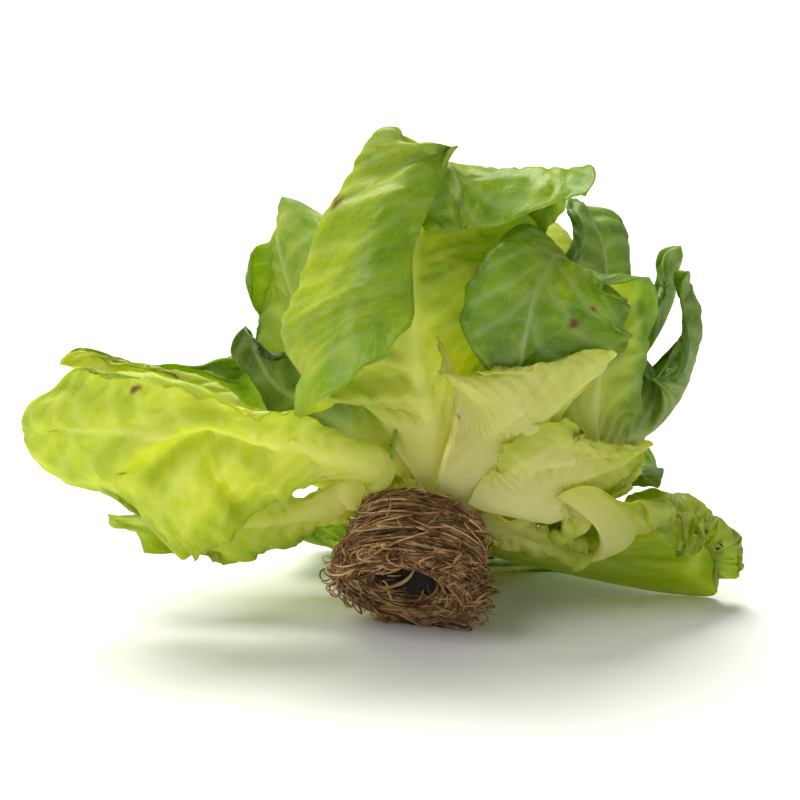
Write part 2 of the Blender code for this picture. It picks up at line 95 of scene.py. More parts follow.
# %% [markdown]
# ## Where the plant grows
#
# Everything is measured from the crown, where the stem leaves the root plug. The stem leans back and a
# little to the right. A point on the plant is an angle round the stem, a distance out from it and a
# height along it, which is how a plant grows. The sizes repeat those of the frame, and the frame's own
# stem says how far the finished head was moved so that it stands on the surface.

# %% The stem's line
LEAN_BACK = math.radians(42)
LEAN_RIGHT = math.radians(12)
CROWN = np.array([5.6, -0.7, 44.2])
BALL_TOP_RADIUS = 24.5
BALL_FOOT_RADIUS = 31.5
BALL_LENGTH = 34.0
STEM_FOOT_RADIUS = 8.0
STEM_TOP_RADIUS = 3.5
STEM_LENGTH = 34.0
STEM_SIDES = 16
HEART_HEIGHT = 84.0
TOUCHING_GAP = 0.3

AXIS = unit(np.array([math.tan(LEAN_RIGHT), math.sin(LEAN_BACK), math.cos(LEAN_BACK)]))
RIGHT = unit(np.array([1.0, 0, 0]) - AXIS[0] * AXIS)
FRONT = -np.cross(AXIS, RIGHT)


def around_stem(azimuth, radius, height):
    """A point by its angle round the stem (0 right, 90 front, 180 left, 270 back), in degrees."""
    angle = math.radians(azimuth)
    return CROWN + height * AXIS + radius * (math.cos(angle) * RIGHT + math.sin(angle) * FRONT)


def core_foot(points):
    """The nearest points on the line up the middle of the head, which the leaves wrap round."""
    along = np.clip((points - CROWN) @ AXIS, -BALL_LENGTH, HEART_HEIGHT)
    return CROWN + along[..., None] * AXIS


STEM_PROFILE = (
    (0, TOUCHING_GAP), (STEM_FOOT_RADIUS, TOUCHING_GAP), (STEM_FOOT_RADIUS, 6),
    (STEM_TOP_RADIUS, STEM_LENGTH), (0, STEM_LENGTH + 2),
)
stem_corners = np.array([
    around_stem(360 / STEM_SIDES * k, r, h) for r, h in STEM_PROFILE for k in range(STEM_SIDES)
])
SHIFT = np.array(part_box("stem")[0]) / MM - stem_corners.min(axis=0)
print("the head stands", np.round(SHIFT, 2), "mm from where it grew")

# %% [markdown]
# ## The leaves as formulas
#
# A lettuce leaf is a blade either side of a midrib. Each row below gives the midrib's points, the width
# of each half at evenly spaced stations from base to tip, how far each half cups towards the heart, and
# how far its margin rolls outwards. That is enough for a whole leaf, so a leaf can be bent by changing
# one number. `grows` is the angle and height on the stem, `face` is the way the upper side looks, and
# `wave` is the ruffle's height, count and phase. `tone` is how green the blade is at its base, middle and
# margin, from 0 for cream to 1 for deep green; the values from 0.7 up, on leaves inside the head, are
# deeper than the leaves' own green and are painted shade of the head's inside. `swells` and `creases` bend
# the blade where a real leaf bulges or folds, `marks` are bruises, `torn` is how ragged the margin is,
# `veins` is the space between side veins and `cell` the size of the mesh's squares, both in mm.

# %% The leaves that can be seen from the front
# Tones from 0.7 up on the inner leaves below are leaf green deepened into painted shade of the head's inside.
HERO_LEAVES = [
    dict(
        name="front_leaf", grows=(97, 9),
        rib=[(9, -16, 84), (3, -25, 110), (1, -27, 134), (1, -21, 156), (6, -9, 178), (9, -2, 192),
             (16, -22, 188), (21, -31, 166)],
        face=[(0, 0.7, 0.7), (0, 0.9, 0.3), (0, 1, 0.1), (0, 0.6, 0.8), (0, -1, 0.1)],
        left=(7, 26, 44, 104, 88, 74, 60, 24, 14), right=(7, 22, 34, 44, 46, 50, 56, 60, 46),
        cup_left=(70, 50, 10, 0, 0, 0, 0, 0, 0), cup_right=(70, 50, 50, 40, 30, 10, -40, -40, 0),
        roll_left=(0, 0, 40, 160, 165, 160, 140, 60, 0), span=(0.35, 0.6), rounding=0,
        wave=(3, 5, 0.4), tone=(0.12, 0.5, 0.62),
        swells=[(0.5, 0.82, 0.3, 0.16, -10), (0.78, 0.75, 0.12, 0.2, -4), (0.4, 0.7, 0.1, 0.2, -4)],
        creases=[
            ([(0.33, 0.08), (0.34, 0.4)], 3, 3), ([(0.29, 0.1), (0.3, 0.45)], 4, -5),
            ([(0.25, 0.1), (0.25, 0.5)], 3.5, 4), ([(0.19, 0.15), (0.2, 0.6)], 4, -3.5),
            ([(0.57, 0.58), (0.6, 0.95)], 2.6, -2), ([(0.42, 0.6), (0.47, 0.95)], 2.6, -2.5),
            ([(0.65, 0.7), (0.69, 0.84)], 5, 3.5),
        ],
        marks=[(0.58, 0.56, 2.0)],
    ),
    dict(
        name="front_right_leaf", grows=(42, 9),
        rib=[(62, -4, 66), (68, -8, 92), (70, -8, 118), (67, -4, 139), (57, -10, 151), (48, -28, 144),
             (43, -34, 123), (40, -32, 100)],
        face=[(0, 0.7, 0.7), (-0.2, 0.9, 0.3), (-0.2, 1, 0), (-0.1, 1, 0.2), (0, -0.2, 1), (0, -1, 0.1),
              (0, -1, -0.1)],
        left=(7, 18, 28, 32, 34, 30, 24, 28, 3), right=(7, 16, 22, 24, 26, 30, 38, 40, 3),
        cup_left=(60, 40, 30, 20, 10, -10, -20, -20, 0), cup_right=(60, 40, 30, 20, 10, -10, -25, -25, 0),
        rounding=0, wave=(2, 5, 0.4), tone=(0.1, 0.5, 0.72), marks=[(0.84, -0.42, 2.4), (0.78, -0.6, 1.7)],
    ),
    dict(
        name="front_pale_leaf", grows=(80, 5),
        rib=[(36, -18, 73), (50, -23, 90), (61, -24, 104), (67, -22, 112)],
        left=(7, 36, 38, 34, 14), right=(7, 18, 12, 8, 4),
        cup_left=(70, 40, 30, 20, 10), cup_right=(70, 30, 20, 10, 0), wave=(2, 4, 0.2),
        tone=(0.0, 0.14, 0.3), torn=2.0, veins=6.5, cell=0.8,
        creases=[([(0.1, 0.2), (0.5, 0.3), (0.95, 0.45)], 1.7, 1.5), ([(0.1, 0.45), (0.9, 0.75)], 1.7, 1.4),
                 ([(0.1, 0.7), (0.6, 0.95)], 1.6, 1.2)],
    ),
    dict(
        name="right_pale_leaf", grows=(12, 5), spreading=True,
        rib=[(48, -14, 64), (67, -16, 65), (85, -14, 70), (96, -10, 77)],
        face=[(0, 0.7, 0.7), (0, 0.8, 0.6), (-0.3, 0.8, 0.4)],
        left=(7, 14, 24, 26, 14), right=(7, 14, 24, 26, 12),
        cup_left=(60, 20, 10, 0, 0), cup_right=(60, 40, 40, 40, 30), wave=(3, 4, 2.0),
        tone=(0.0, 0.14, 0.38), torn=2.4, veins=6.5, cell=0.8,
        creases=[([(0.05, 0.3), (0.45, 0.4), (0.95, 0.55)], 1.7, 1.6), ([(0.05, 0.6), (0.8, 0.85)], 1.7, 1.4),
                 ([(0.05, -0.3), (0.5, -0.4), (0.95, -0.5)], 1.7, 1.5), ([(0.5, 0.7), (0.75, 0.2)], 4, -3)],
    ),
    dict(
        name="right_drooping_leaf", grows=(352, 9), spreading=True,
        rib=[(62, 14, 57), (92, 30, 60), (119, 40, 51), (134, 40, 28), (132, 36, -2)],
        face=[(0, 0.3, 0.9), (0.2, 0.1, 0.9), (0.9, 0.2, 0.4), (1, 0.1, 0.1)],
        left=(7, 26, 50, 46, 18), right=(7, 30, 42, 30, 14),
        cup_left=(50, -10, -50, -50, -20), cup_right=(50, -30, -70, -60, -20), wave=(4, 5, 0.9),
        tone=(0.12, 0.42, 0.56),
        creases=[([(0.18, -0.1), (0.55, -0.3), (0.95, -0.1)], 4.5, -4.5),
                 ([(0.25, 0.3), (0.6, 0.35), (0.9, 0.5)], 7, 5), ([(0.4, -0.95), (0.55, -0.2)], 5, 6),
                 ([(0.66, -0.95), (0.74, -0.15)], 4, -5), ([(0.3, 0.95), (0.45, 0.3)], 5, -5),
                 ([(0.6, 0.95), (0.68, 0.3)], 5, 5)],
    ),
    dict(
        name="right_cupped_leaf", grows=(20, 14),
        rib=[(61, 10, 74), (91, 24, 75), (110, 30, 91), (116, 28, 116), (110, 22, 142)],
        left=(7, 22, 34, 34, 16), right=(7, 22, 34, 34, 16),
        cup_left=(60, 60, 60, 50, 30), cup_right=(60, 60, 60, 50, 30), wave=(3, 6, 0.1),
        tone=(0.22, 0.74, 0.8),
    ),
    dict(
        name="right_back_leaf", grows=(5, 18),
        rib=[(54, 20, 80), (88, 40, 97), (106, 50, 121), (109, 55, 148)],
        left=(7, 24, 34, 34, 18), right=(7, 24, 34, 34, 18),
        cup_left=(60, 50, 50, 40, 20), cup_right=(60, 50, 50, 40, 20), wave=(3, 5, 2.2),
        tone=(0.2, 0.7, 0.76),
    ),
    dict(
        name="upper_right_leaf", grows=(55, 19),
        rib=[(54, 6, 88), (75, 14, 115), (80, 20, 140), (77, 28, 160), (70, 40, 170)],
        left=(7, 24, 40, 42, 28), right=(7, 28, 40, 40, 26),
        cup_left=(60, 50, 40, 30, 10), cup_right=(60, 60, 60, 50, 20), wave=(3, 5, 0.7),
        tone=(0.15, 0.62, 0.78),
    ),
    dict(
        name="upper_left_leaf", grows=(140, 16),
        rib=[(-4, 0, 77), (-26, 4, 98), (-43, 8, 124), (-50, 14, 150), (-49, 26, 169)],
        left=(7, 28, 46, 36, 20), right=(7, 26, 44, 46, 28),
        cup_left=(60, 30, 20, 10, 0), cup_right=(60, 50, 40, 30, 10), wave=(4, 5, 0.3),
        tone=(0.15, 0.55, 0.62),
    ),
    dict(
        name="left_inner_leaf", grows=(155, 14),
        rib=[(-10, -2, 73), (-38, 4, 88), (-58, 10, 101), (-69, 16, 119)],
        left=(7, 16, 22, 20, 10), right=(7, 20, 24, 22, 12),
        cup_left=(50, 30, 30, 20, 10), cup_right=(50, 40, 30, 20, 10), wave=(3, 4, 1.9),
        tone=(0.2, 0.8, 0.9),
    ),
    dict(
        name="left_spread_leaf", grows=(160, 5), spreading=True,
        rib=[(-10, -17, 66), (-43, -27, 78), (-81, -32, 86), (-117, -24, 86), (-152, -8, 84)],
        face=[(0.1, 0.8, 0.6), (0.1, 0.9, 0.4), (0.15, 0.95, 0.2), (0.3, 0.9, 0.2)],
        left=(7, 16, 44, 58, 40), right=(7, 10, 18, 34, 26),
        cup_left=(30, 10, 0, 10, 20), cup_right=(30, 20, 20, 20, 20),
        roll_right=(0, 0, 80, 120, 60), span=(0.5, 0.9), wave=(3, 5, 1.2), tone=(0.25, 0.4, 0.48),
        swells=[(0.61, 0.55, 0.08, 0.25, 3.5)],
        creases=[
            ([(0.8, 0.25), (0.67, 0.03), (0.57, -0.35), (0.45, -0.2)], 4.5, 5.5),
            ([(0.72, 0.3), (0.6, 0.05), (0.5, -0.02), (0.44, 0.1)], 5, -7),
            ([(0.56, 0.1), (0.53, 0.45), (0.46, 0.85)], 4, -5.5),
            ([(0.47, 0.15), (0.41, 0.45), (0.36, 0.8)], 4.5, 4.5),
            ([(0.97, 0.5), (0.8, 0.27)], 4, 2.5), ([(0.36, -0.1), (0.3, 0.4)], 4, -4),
        ],
        marks=[(0.74, -0.5, 1.7), (0.77, 0.27, 1.2)],
    ),
    dict(
        name="left_tip_leaf", grows=(180, 11), spreading=True,
        rib=[(-32, 12, 70), (-85, 28, 88), (-122, 22, 101), (-142, 16, 108)],
        face=[(0.2, 0.6, 0.7), (0.1, 0.8, 0.6), (0.2, 0.9, 0.3)],
        left=(7, 16, 22, 20, 10), right=(7, 12, 12, 10, 6),
        cup_left=(40, 20, 20, 20, 10), cup_right=(40, 20, 30, 30, 20), wave=(3, 4, 0.2),
        tone=(0.2, 0.45, 0.4),
    ),
    dict(
        name="left_low_leaf", grows=(202, 4), spreading=True,
        rib=[(-18, 0, 48), (-45, 6, 43), (-82, 12, 37), (-126, 18, 36)],
        face=[(0, 0.6, 0.8), (0, 0.8, 0.6), (0.2, 0.9, 0.4)],
        left=(7, 18, 24, 22, 12), right=(7, 12, 18, 18, 10),
        cup_left=(50, 10, 10, 20, 10), cup_right=(50, 20, 10, 10, 10), wave=(3, 4, 0.6),
        tone=(0.05, 0.42, 0.55),
    ),
    dict(
        name="low_right_leaf", grows=(338, 3), spreading=True,
        rib=[(34, -2, 42), (52, 2, 34), (74, 8, 25)],
        face=[(0, 0.7, 0.7), (0, 0.7, 0.7), (0.2, 0.7, 0.6)],
        left=(7, 12, 14, 14, 8), right=(7, 12, 14, 14, 8),
        cup_left=(40, -10, -20, -20, 0), cup_right=(40, 0, 0, 0, 0), wave=(3, 5, 0.5),
        tone=(0.02, 0.24, 0.46), torn=3.0, veins=6.5, cell=0.8,
    ),
    dict(
        name="right_folded_leaf", grows=(40, 16),
        rib=[(58, 4, 76), (76, 5, 82), (83, 6, 93), (81, 10, 104)],
        left=(7, 10, 12, 11, 7), right=(7, 10, 12, 11, 7),
        cup_left=(60, 60, 60, 60, 40), cup_right=(60, 60, 60, 60, 40), wave=(2, 4, 0.8),
        tone=(0.3, 0.85, 0.8),
    ),
]

# %% [markdown]
# ## The back and the heart
#
# The leaves at the back share one shape, so each is a short row: its angle and height on the stem, its
# midrib as distances out from the stem and along it, its half-width, cup and roll. The heart is a rule:
# each leaf is turned from the last by the golden angle, 137.5 degrees, and is a little smaller.

# %% The leaves behind, and the heart
BACK_LEAVES = [
    ("back_floor_leaf", 268, 4, ((60, 10), (98, 32), (122, 54), (136, 70)), 62, 20, 20),
    ("back_left_leaf", 218, 5, ((50, 14), (84, 42), (98, 74), (96, 104)), 60, 40, 30),
    ("back_right_leaf", 312, 6, ((50, 14), (84, 42), (98, 74), (94, 104)), 58, 40, 30),
    ("back_upright_leaf", 255, 9, ((48, 20), (76, 52), (82, 86), (72, 116)), 58, 50, 20),
]
HEART_LEAVES = 8
GOLDEN_ANGLE = 137.5
HEART_FIRST_ANGLE = 285
HEART_OUTER_RADIUS = 66.0
HEART_STEP = 6.6


def back_leaf(row):
    name, azimuth, height, profile, half, cup, roll = row
    widths = (7, 0.5 * half, half, 0.95 * half, 0.4 * half)
    cups = (60, cup, cup, cup, 0.5 * cup)
    rolls = (0, 0, 0.6 * roll, roll, roll)
    return dict(
        name=name, grows=(azimuth, height), rib=[tuple(around_stem(azimuth, *place)) for place in profile],
        left=widths, right=widths, cup_left=cups, cup_right=cups, roll_left=rolls, roll_right=rolls,
        wave=(4, 6, 0.01 * azimuth), tone=(0.1, 0.55, 0.68),
    )


def heart_leaf(number):
    """Leaf number of the heart, 0 outside. It rises from the stem, swells and closes over the top."""
    radius = HEART_OUTER_RADIUS - HEART_STEP * number
    azimuth = HEART_FIRST_ANGLE + GOLDEN_ANGLE * number
    profile = (
        (0.72 * radius, HEART_HEIGHT - 0.62 * radius),
        (1.00 * radius, HEART_HEIGHT + 0.05 * radius),
        (0.86 * radius, HEART_HEIGHT + 0.62 * radius),
        (0.42 * radius, HEART_HEIGHT + 0.96 * radius),
    )
    widths = (6, 0.62 * radius, 1.0 * radius, 0.95 * radius, 0.4 * radius)
    cups = (60, 62, 66, 62, 40)
    return dict(
        name=f"heart_leaf_{number + 1}", grows=(azimuth, 12 + 2.4 * number),
        rib=[tuple(around_stem(azimuth, *place)) for place in profile],
        left=widths, right=widths, cup_left=cups, cup_right=cups, wave=(2.5, 6, 0.7 * number),
        tone=(0.02, 0.42 - 0.03 * number, 0.5 - 0.03 * number),
    )


LEAVES = [*HERO_LEAVES, *map(back_leaf, BACK_LEAVES), *map(heart_leaf, range(HEART_LEAVES))]
print(len(LEAVES), "leaves")

# %% [markdown]
# ## From a row to a blade
#
# A midrib through a few points needs a smooth curve and three directions at each place: along it, across
# it and out of the upper side. The cross-section is then walked out from the midrib in small steps, each
# one turned a little more than the last, which bends the blade without stretching it.

# %% The midrib and the blade
TIP_ROUNDING = 0.24


def stations(values, where):
    """A smooth curve through evenly spaced values, read at where, from 0 to 1."""
    values = np.asarray(values, float)
    return between(values, np.linspace(0, 1, len(values)), np.clip(where, 0, 1))


def between(values, knots, where):
    """A smooth curve through values at the knots, along the first axis."""
    first = np.clip(np.searchsorted(knots, where, side="right") - 1, 0, len(knots) - 2)
    span = knots[first + 1] - knots[first]
    share = (where - knots[first]) / span
    slope = np.gradient(values, axis=0)
    steps = np.gradient(knots)
    slope = slope / (steps[:, None] if values.ndim > 1 else steps)
    if values.ndim > 1:
        share, span = share[:, None], span[:, None]
    start, end = values[first], values[first + 1]
    return (
        (2 * share**3 - 3 * share**2 + 1) * start
        + (share**3 - 2 * share**2 + share) * span * slope[first]
        + (3 * share**2 - 2 * share**3) * end
        + (share**3 - share**2) * span * slope[first + 1]
    )


class Midrib:
    """A leaf's midrib, with the directions along it, across it and out of the blade's upper side."""

    SAMPLES = 81

    def __init__(self, leaf):
        azimuth, height = leaf["grows"]
        points = [around_stem(azimuth, STEM_FOOT_RADIUS + 2.2, height), *map(np.array, leaf["rib"])]
        raw = stations(np.array(points), np.linspace(0, 1, 400))
        length = np.concatenate([[0], np.cumsum(np.linalg.norm(np.diff(raw, axis=0), axis=1))])
        self.length = length[-1]
        self.where = np.linspace(0, 1, self.SAMPLES)
        self.place = np.stack([np.interp(self.where * self.length, length, raw[:, k]) for k in range(3)], 1)
        self.along = unit(np.gradient(self.place, axis=0))
        inward = unit(core_foot(self.place) - self.place)
        if "face" in leaf:
            stated = unit(stations(np.array(leaf["face"], float), self.where))
            turned = smoothstep(0.0, 0.25, self.where)[:, None]
            inward = inward * (1 - turned) + stated * turned
        inward -= (inward * self.along).sum(1, keepdims=True) * self.along
        self.upper = unit(inward)
        self.across = np.cross(self.along, self.upper)

    def read(self, table, where):
        return np.stack([np.interp(where, self.where, table[:, k]) for k in range(3)], 1)


def half_of(leaf, names, along, across, default=(0, 0)):
    """Reads a pair of tables, the first for the left half and the second for the right."""
    left = stations(leaf.get(names[0], default), along)
    right = stations(leaf.get(names[1], default), along)
    return np.where(across > 0, left, right)


def blade(leaf, along, across):
    """Points of the leaf's middle surface. along is 0 to 1 up the rib, across -1 (right) to 1 (left)."""
    rib = leaf["midrib"]
    share = np.abs(across)
    width = half_of(leaf, ("left", "right"), along, across)
    cup = np.radians(half_of(leaf, ("cup_left", "cup_right"), along, across))
    roll = np.radians(half_of(leaf, ("roll_left", "roll_right"), along, across))
    where = np.maximum(along - leaf.get("rounding", TIP_ROUNDING) * along**2 * share**2.2, 0)
    roll_from, roll_to = leaf.get("span", (0.5, 0.85))
    shares = share[:, None] * (np.arange(20) + 0.5) / 20
    angle = cup[:, None] * shares - roll[:, None] * smoothstep(roll_from, roll_to, shares)
    outward = width * share * np.cos(angle).mean(1)
    upward = width * share * np.sin(angle).mean(1)
    return (
        rib.read(rib.place, where)
        + (np.sign(across) * outward)[:, None] * rib.read(rib.across, where)
        + upward[:, None] * rib.read(rib.upper, where)
    )


def ruffle(leaf, along, across):
    """How far the margin waves out of the blade, in millimetres."""
    height, count, phase = leaf["wave"]
    turn = np.arctan2(across, 2.2 * (along - 0.45))
    edge = np.maximum(np.abs(across) ** 2.5, smoothstep(0.6, 1.0, along)) * smoothstep(0.05, 0.4, along)
    return height * edge * (np.sin(count * turn + 6.3 * phase) + 0.5 * np.sin(2.3 * count * turn + 9 * phase))


def normals_of(points, shape):
    """The direction out of the leaf's under side at each point of its grid."""
    net = points.reshape(*shape, 3)
    return unit(np.cross(np.gradient(net, axis=0), np.gradient(net, axis=1)) + 1e-9).reshape(-1, 3)


def grid_of(rows, columns):
    along, across = np.meshgrid(rows, columns, indexing="ij")
    return along.ravel(), across.ravel()


def formed(leaf, rows, columns):
    """The leaf as its formula alone gives it."""
    along, across = grid_of(rows, columns)
    points = blade(leaf, along, across)
    normals = normals_of(points, (len(rows), len(columns)))
    return points + ruffle(leaf, along, across)[:, None] * normals


for leaf in LEAVES:
    leaf["midrib"] = Midrib(leaf)
print("longest midrib", round(max(leaf["midrib"].length for leaf in LEAVES)), "mm")

# %% [markdown]
# ## Following the frame
#
# In the frame each leaf has been pressed clear of its neighbours, so it no longer lies where its formula
# says. Its plate is a grid of 10 by 11 points with a front and a back. Each point of the grid is the
# middle of a front and a back corner that are one leaf thickness apart. The rim gives the grid's border,
# and from the border inwards the next point is the one that two known neighbours share. The difference
# between plate and formula is then spread smoothly over a fine blade, so the fine leaf fits its plate.

# %% Reading the plates
PLATE_ROWS = np.array((0, 0.1, 0.22, 0.35, 0.48, 0.6, 0.72, 0.83, 0.92, 1.0))
PLATE_COLUMNS = np.array((-1, -0.86, -0.7, -0.5, -0.25, 0, 0.25, 0.5, 0.7, 0.86, 1))
PLATE_THICKNESS = 0.9


def ring_of(rows, columns):
    """The border of a grid, in order round it."""
    ring = [(0, c) for c in range(columns)] + [(r, columns - 1) for r in range(1, rows)]
    ring += [(rows - 1, c) for c in range(columns - 2, -1, -1)] + [(r, 0) for r in range(rows - 2, 0, -1)]
    return ring


def filled_in(label, near, rows, columns):
    """Names the grid's inner points from its border inwards, or gives None if the border doesn't fit."""
    for row in range(1, rows - 1):
        for column in range(1, columns - 1):
            shared = near[label[row - 1, column]] & near[label[row, column - 1]]
            new = shared - set(label.values())
            if len(new) != 1:
                return None
            label[row, column] = new.pop()
    return label


def plate_points(leaf):
    """The plate's middle surface as a grid of points, from the frame's own mesh."""
    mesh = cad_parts[leaf["name"]].data
    corners = np.array([tuple(vertex.co) for vertex in mesh.vertices]) / MM - SHIFT
    spots, spot_of = np.unique(np.round(corners, 4), axis=0, return_inverse=True)
    spot_of = spot_of.ravel()
    apart = np.linalg.norm(spots[:, None] - spots[None], axis=2)
    partner = np.abs(apart - PLATE_THICKNESS).argmin(axis=1)
    middle_of = np.minimum(np.arange(len(spots)), partner)
    middles = (spots + spots[partner]) / 2
    near, rim = {}, {}
    for polygon in mesh.polygons:
        names = [middle_of[spot_of[k]] for k in polygon.vertices]
        for name in names:
            near.setdefault(name, set()).update(names)
        if len(set(names)) == 2:
            first, second = set(names)
            rim.setdefault(first, set()).add(second)
            rim.setdefault(second, set()).add(first)
    walk = [next(iter(rim))]
    walk.append(next(iter(rim[walk[0]])))
    while len(walk) < len(rim):
        walk.append(next(name for name in rim[walk[-1]] if name != walk[-2]))
    rows, columns = len(PLATE_ROWS), len(PLATE_COLUMNS)
    ring = ring_of(rows, columns)
    expected = formed(leaf, PLATE_ROWS, PLATE_COLUMNS).reshape(rows, columns, 3)
    wanted = np.array([expected[place] for place in ring])
    turns = [np.roll(order, k).tolist() for order in (walk, walk[::-1]) for k in range(len(walk))]
    turns.sort(key=lambda order: ((middles[order] - wanted) ** 2).sum())
    for order in turns:
        label = filled_in(dict(zip(ring, order)), near, rows, columns)
        if label:
            break
    return np.array([[middles[label[r, c]] for c in range(columns)] for r in range(rows)])


for leaf in LEAVES:
    leaf["plate"] = plate_points(leaf)
    leaf["pressed"] = leaf["plate"] - formed(leaf, PLATE_ROWS, PLATE_COLUMNS).reshape(leaf["plate"].shape)
print("pressed out at most", round(max(np.abs(leaf["pressed"]).max() for leaf in LEAVES), 1), "mm")

# %% [markdown]
# ## Noise and cells
#
# Two patterns give a leaf its life. Value noise is a smooth random landscape, good for slow waves. Cells
# are the patches nearest to scattered seeds; between veins a lettuce blade bulges in just such patches,
# because it grows faster than the veins that hold it.

# %% Random patterns that repeat exactly
def scatter(column, row, seed):
    """A repeatable random number from 0 to 1 for each square of a grid."""
    return np.modf(np.abs(np.sin(127.1 * column + 311.7 * row + 74.7 * seed) * 43758.5453))[0]


def noise(x, y, seed):
    """Smooth value noise from -1 to 1."""
    column, row = np.floor(x), np.floor(y)
    across, up = smoothstep(0, 1, x - column), smoothstep(0, 1, y - row)
    low = mix(scatter(column, row, seed), scatter(column + 1, row, seed), across)
    high = mix(scatter(column, row + 1, seed), scatter(column + 1, row + 1, seed), across)
    return 2 * mix(low, high, up) - 1


def cell_walls(x, y, seed):
    """How far a place is from the wall between two cells: 0 on the wall."""
    nearest = np.full(x.shape, 9.0)
    second = np.full(x.shape, 9.0)
    for step in range(9):
        column, row = np.floor(x) + step % 3 - 1, np.floor(y) + step // 3 - 1
        apart = np.hypot(column + 0.1 + 0.8 * scatter(column, row, seed) - x,
                         row + 0.1 + 0.8 * scatter(column, row, seed + 5) - y)
        second = np.minimum(np.maximum(apart, nearest), second)
        nearest = np.minimum(apart, nearest)
    return second - nearest


# %% [markdown]
# ## Veins, quilting and torn edges
#
# The midrib is broad and pale at the base and stands proud of the under side. Side veins leave it every
# 12 mm or so, or 6.5 mm on the pale torn leaves, and fan out towards the tip. Between them the blade is
# quilted towards its upper side. Near the margin it waves more tightly, and the margin itself is uneven
# and here and there torn.

# %% Folds where they are wanted
def off_line(x, y, line):
    """How far each place is from a bent line, in mm."""
    nearest = np.full(x.shape, 999.0)
    for (x0, y0), (x1, y1) in zip(line, line[1:]):
        run = np.array([x1 - x0, y1 - y0])
        share = np.clip(((x - x0) * run[0] + (y - y0) * run[1]) / (run @ run), 0, 1)
        nearest = np.minimum(nearest, np.hypot(x - x0 - share * run[0], y - y0 - share * run[1]))
    return nearest


def in_mm(leaf, places):
    """Places given as (along, across), as millimetres across and up the blade."""
    along, across = np.array(places, float).T
    width = half_of(leaf, ("left", "right"), along, across)
    return list(zip(across * width, along * leaf["midrib"].length))


def folds(leaf, along, across, x, y):
    """Lift out of the under side from the leaf's own swells and creases, in mm."""
    lift = np.zeros(x.shape)
    for at_along, at_across, along_size, across_size, height in leaf.get("swells", ()):
        away = ((along - at_along) / along_size) ** 2 + ((across - at_across) / across_size) ** 2
        lift = lift + height * np.exp(-away)
    for places, breadth, height in leaf.get("creases", ()):
        lift = lift + height * np.exp(-((off_line(x, y, in_mm(leaf, places)) / breadth) ** 2))
    return lift


# %% The relief of a blade
VEIN_SPACING = 12.5
QUILT_SIZE = 9.5


def relief(leaf, along, across, seed):
    """Lift out of the under side, ridge height, vein strength and how far the margin moves out, in mm."""
    side = np.abs(across)
    width = half_of(leaf, ("left", "right"), along, across)
    length = leaf["midrib"].length
    x, y = across * width, along * length
    out = np.abs(x)
    slope = 0.8 + 2.2 * (1 - smoothstep(0, 0.55, along))
    wander = 8.5 * noise(x / 33, y / 33, seed) + 3.2 * noise(x / 11, y / 11, seed + 1)
    spacing = leaf.get("veins", VEIN_SPACING)
    order = (y - slope * out * (1 - 0.2 * side) + wander) / spacing + 0.5 * (across > 0)
    vein_apart = np.abs(order - np.floor(order) - 0.5) * spacing / np.sqrt(1 + slope**2)
    vein_width = (1.3 + 0.7 * (1 - side) * (1 - 0.5 * along)) * min(1, spacing / 9)
    side_vein = np.exp(-((vein_apart / vein_width) ** 2)) * (1 - smoothstep(0.8, 1.0, side))
    rib_width = 1.0 + 4.6 * (1 - along) ** 1.7
    midrib = np.exp(-((out / rib_width) ** 2)) * (1 - smoothstep(0.9, 1.0, along))
    ridge = midrib * (0.35 + 2.3 * (1 - along) ** 1.6) + side_vein * (0.2 + 0.65 * (1 - along)) * (1 - midrib)
    open_blade = smoothstep(0.06, 0.3, along) * (1 - midrib)
    patch = smoothstep(0.03, 0.55, cell_walls(x / QUILT_SIZE + 0.1 * wander, y / QUILT_SIZE, seed + 2))
    quilt = patch * (1 - np.exp(-((vein_apart / 2.6) ** 2)))
    size = leaf.get("quilt", 1.0)
    lift = -1.0 * size * quilt * open_blade * (1 - 0.5 * smoothstep(0.8, 1, side))
    billow = 1.7 * noise(x / 40, y / 40, seed + 3) + 0.8 * noise(x / 17, y / 17, seed + 4)
    lift = lift + size * open_blade * billow
    lift = lift + folds(leaf, along, across, x, y)
    margin = np.maximum(smoothstep(0.7, 1.0, side), smoothstep(0.82, 1.0, along))
    margin = margin * smoothstep(0.1, 0.35, along)
    round_edge = np.where(across > 0, 1, -1) * y + x
    frill = 1.7 * noise(round_edge / 8, side, seed + 6) + 0.8 * noise(round_edge / 3.5, side, seed + 7)
    lift = lift + size * margin * frill
    torn = leaf.get("torn", 1.0)
    uneven = 1.6 * noise(round_edge / 11, 0 * x, seed + 8) + 0.9 * noise(round_edge / 3.2, 0 * x, seed + 9)
    uneven = torn * uneven
    return lift, ridge, np.maximum(midrib, 0.5 * side_vein), margin * uneven, x, y


# %% [markdown]
# ## A blade as a closed shell
#
# A leaf is thin, about half a millimetre, but it does have an upper and an under side that look quite
# different: the upper is glossy and deep, the under is paler with raised veins. So the mesh is a shell of
# two skins and a rim, and an attribute says which skin each point is on. Other attributes carry the veins,
# the margin and the greenness, so that the material can follow the leaf instead of space.

# %% Making one leaf
FINE_CELL = 1.35
HEART_CELL = 2.4
LEAF_THICKNESS = 0.55
LOWEST_LEAF = 0.3
UV_UNIT = 100.0


def fine_blade(leaf, rows, columns):
    """The formula's blade on a fine grid, moved as its plate was pressed."""
    pressed = leaf["pressed"]
    by_row = between(pressed.reshape(len(PLATE_ROWS), -1), PLATE_ROWS, rows)
    by_row = by_row.reshape(len(rows), len(PLATE_COLUMNS), 3).transpose(1, 0, 2)
    both = between(by_row.reshape(len(PLATE_COLUMNS), -1), PLATE_COLUMNS, columns)
    both = both.reshape(len(columns), len(rows), 3).transpose(1, 0, 2).reshape(-1, 3)
    return formed(leaf, rows, columns) + both


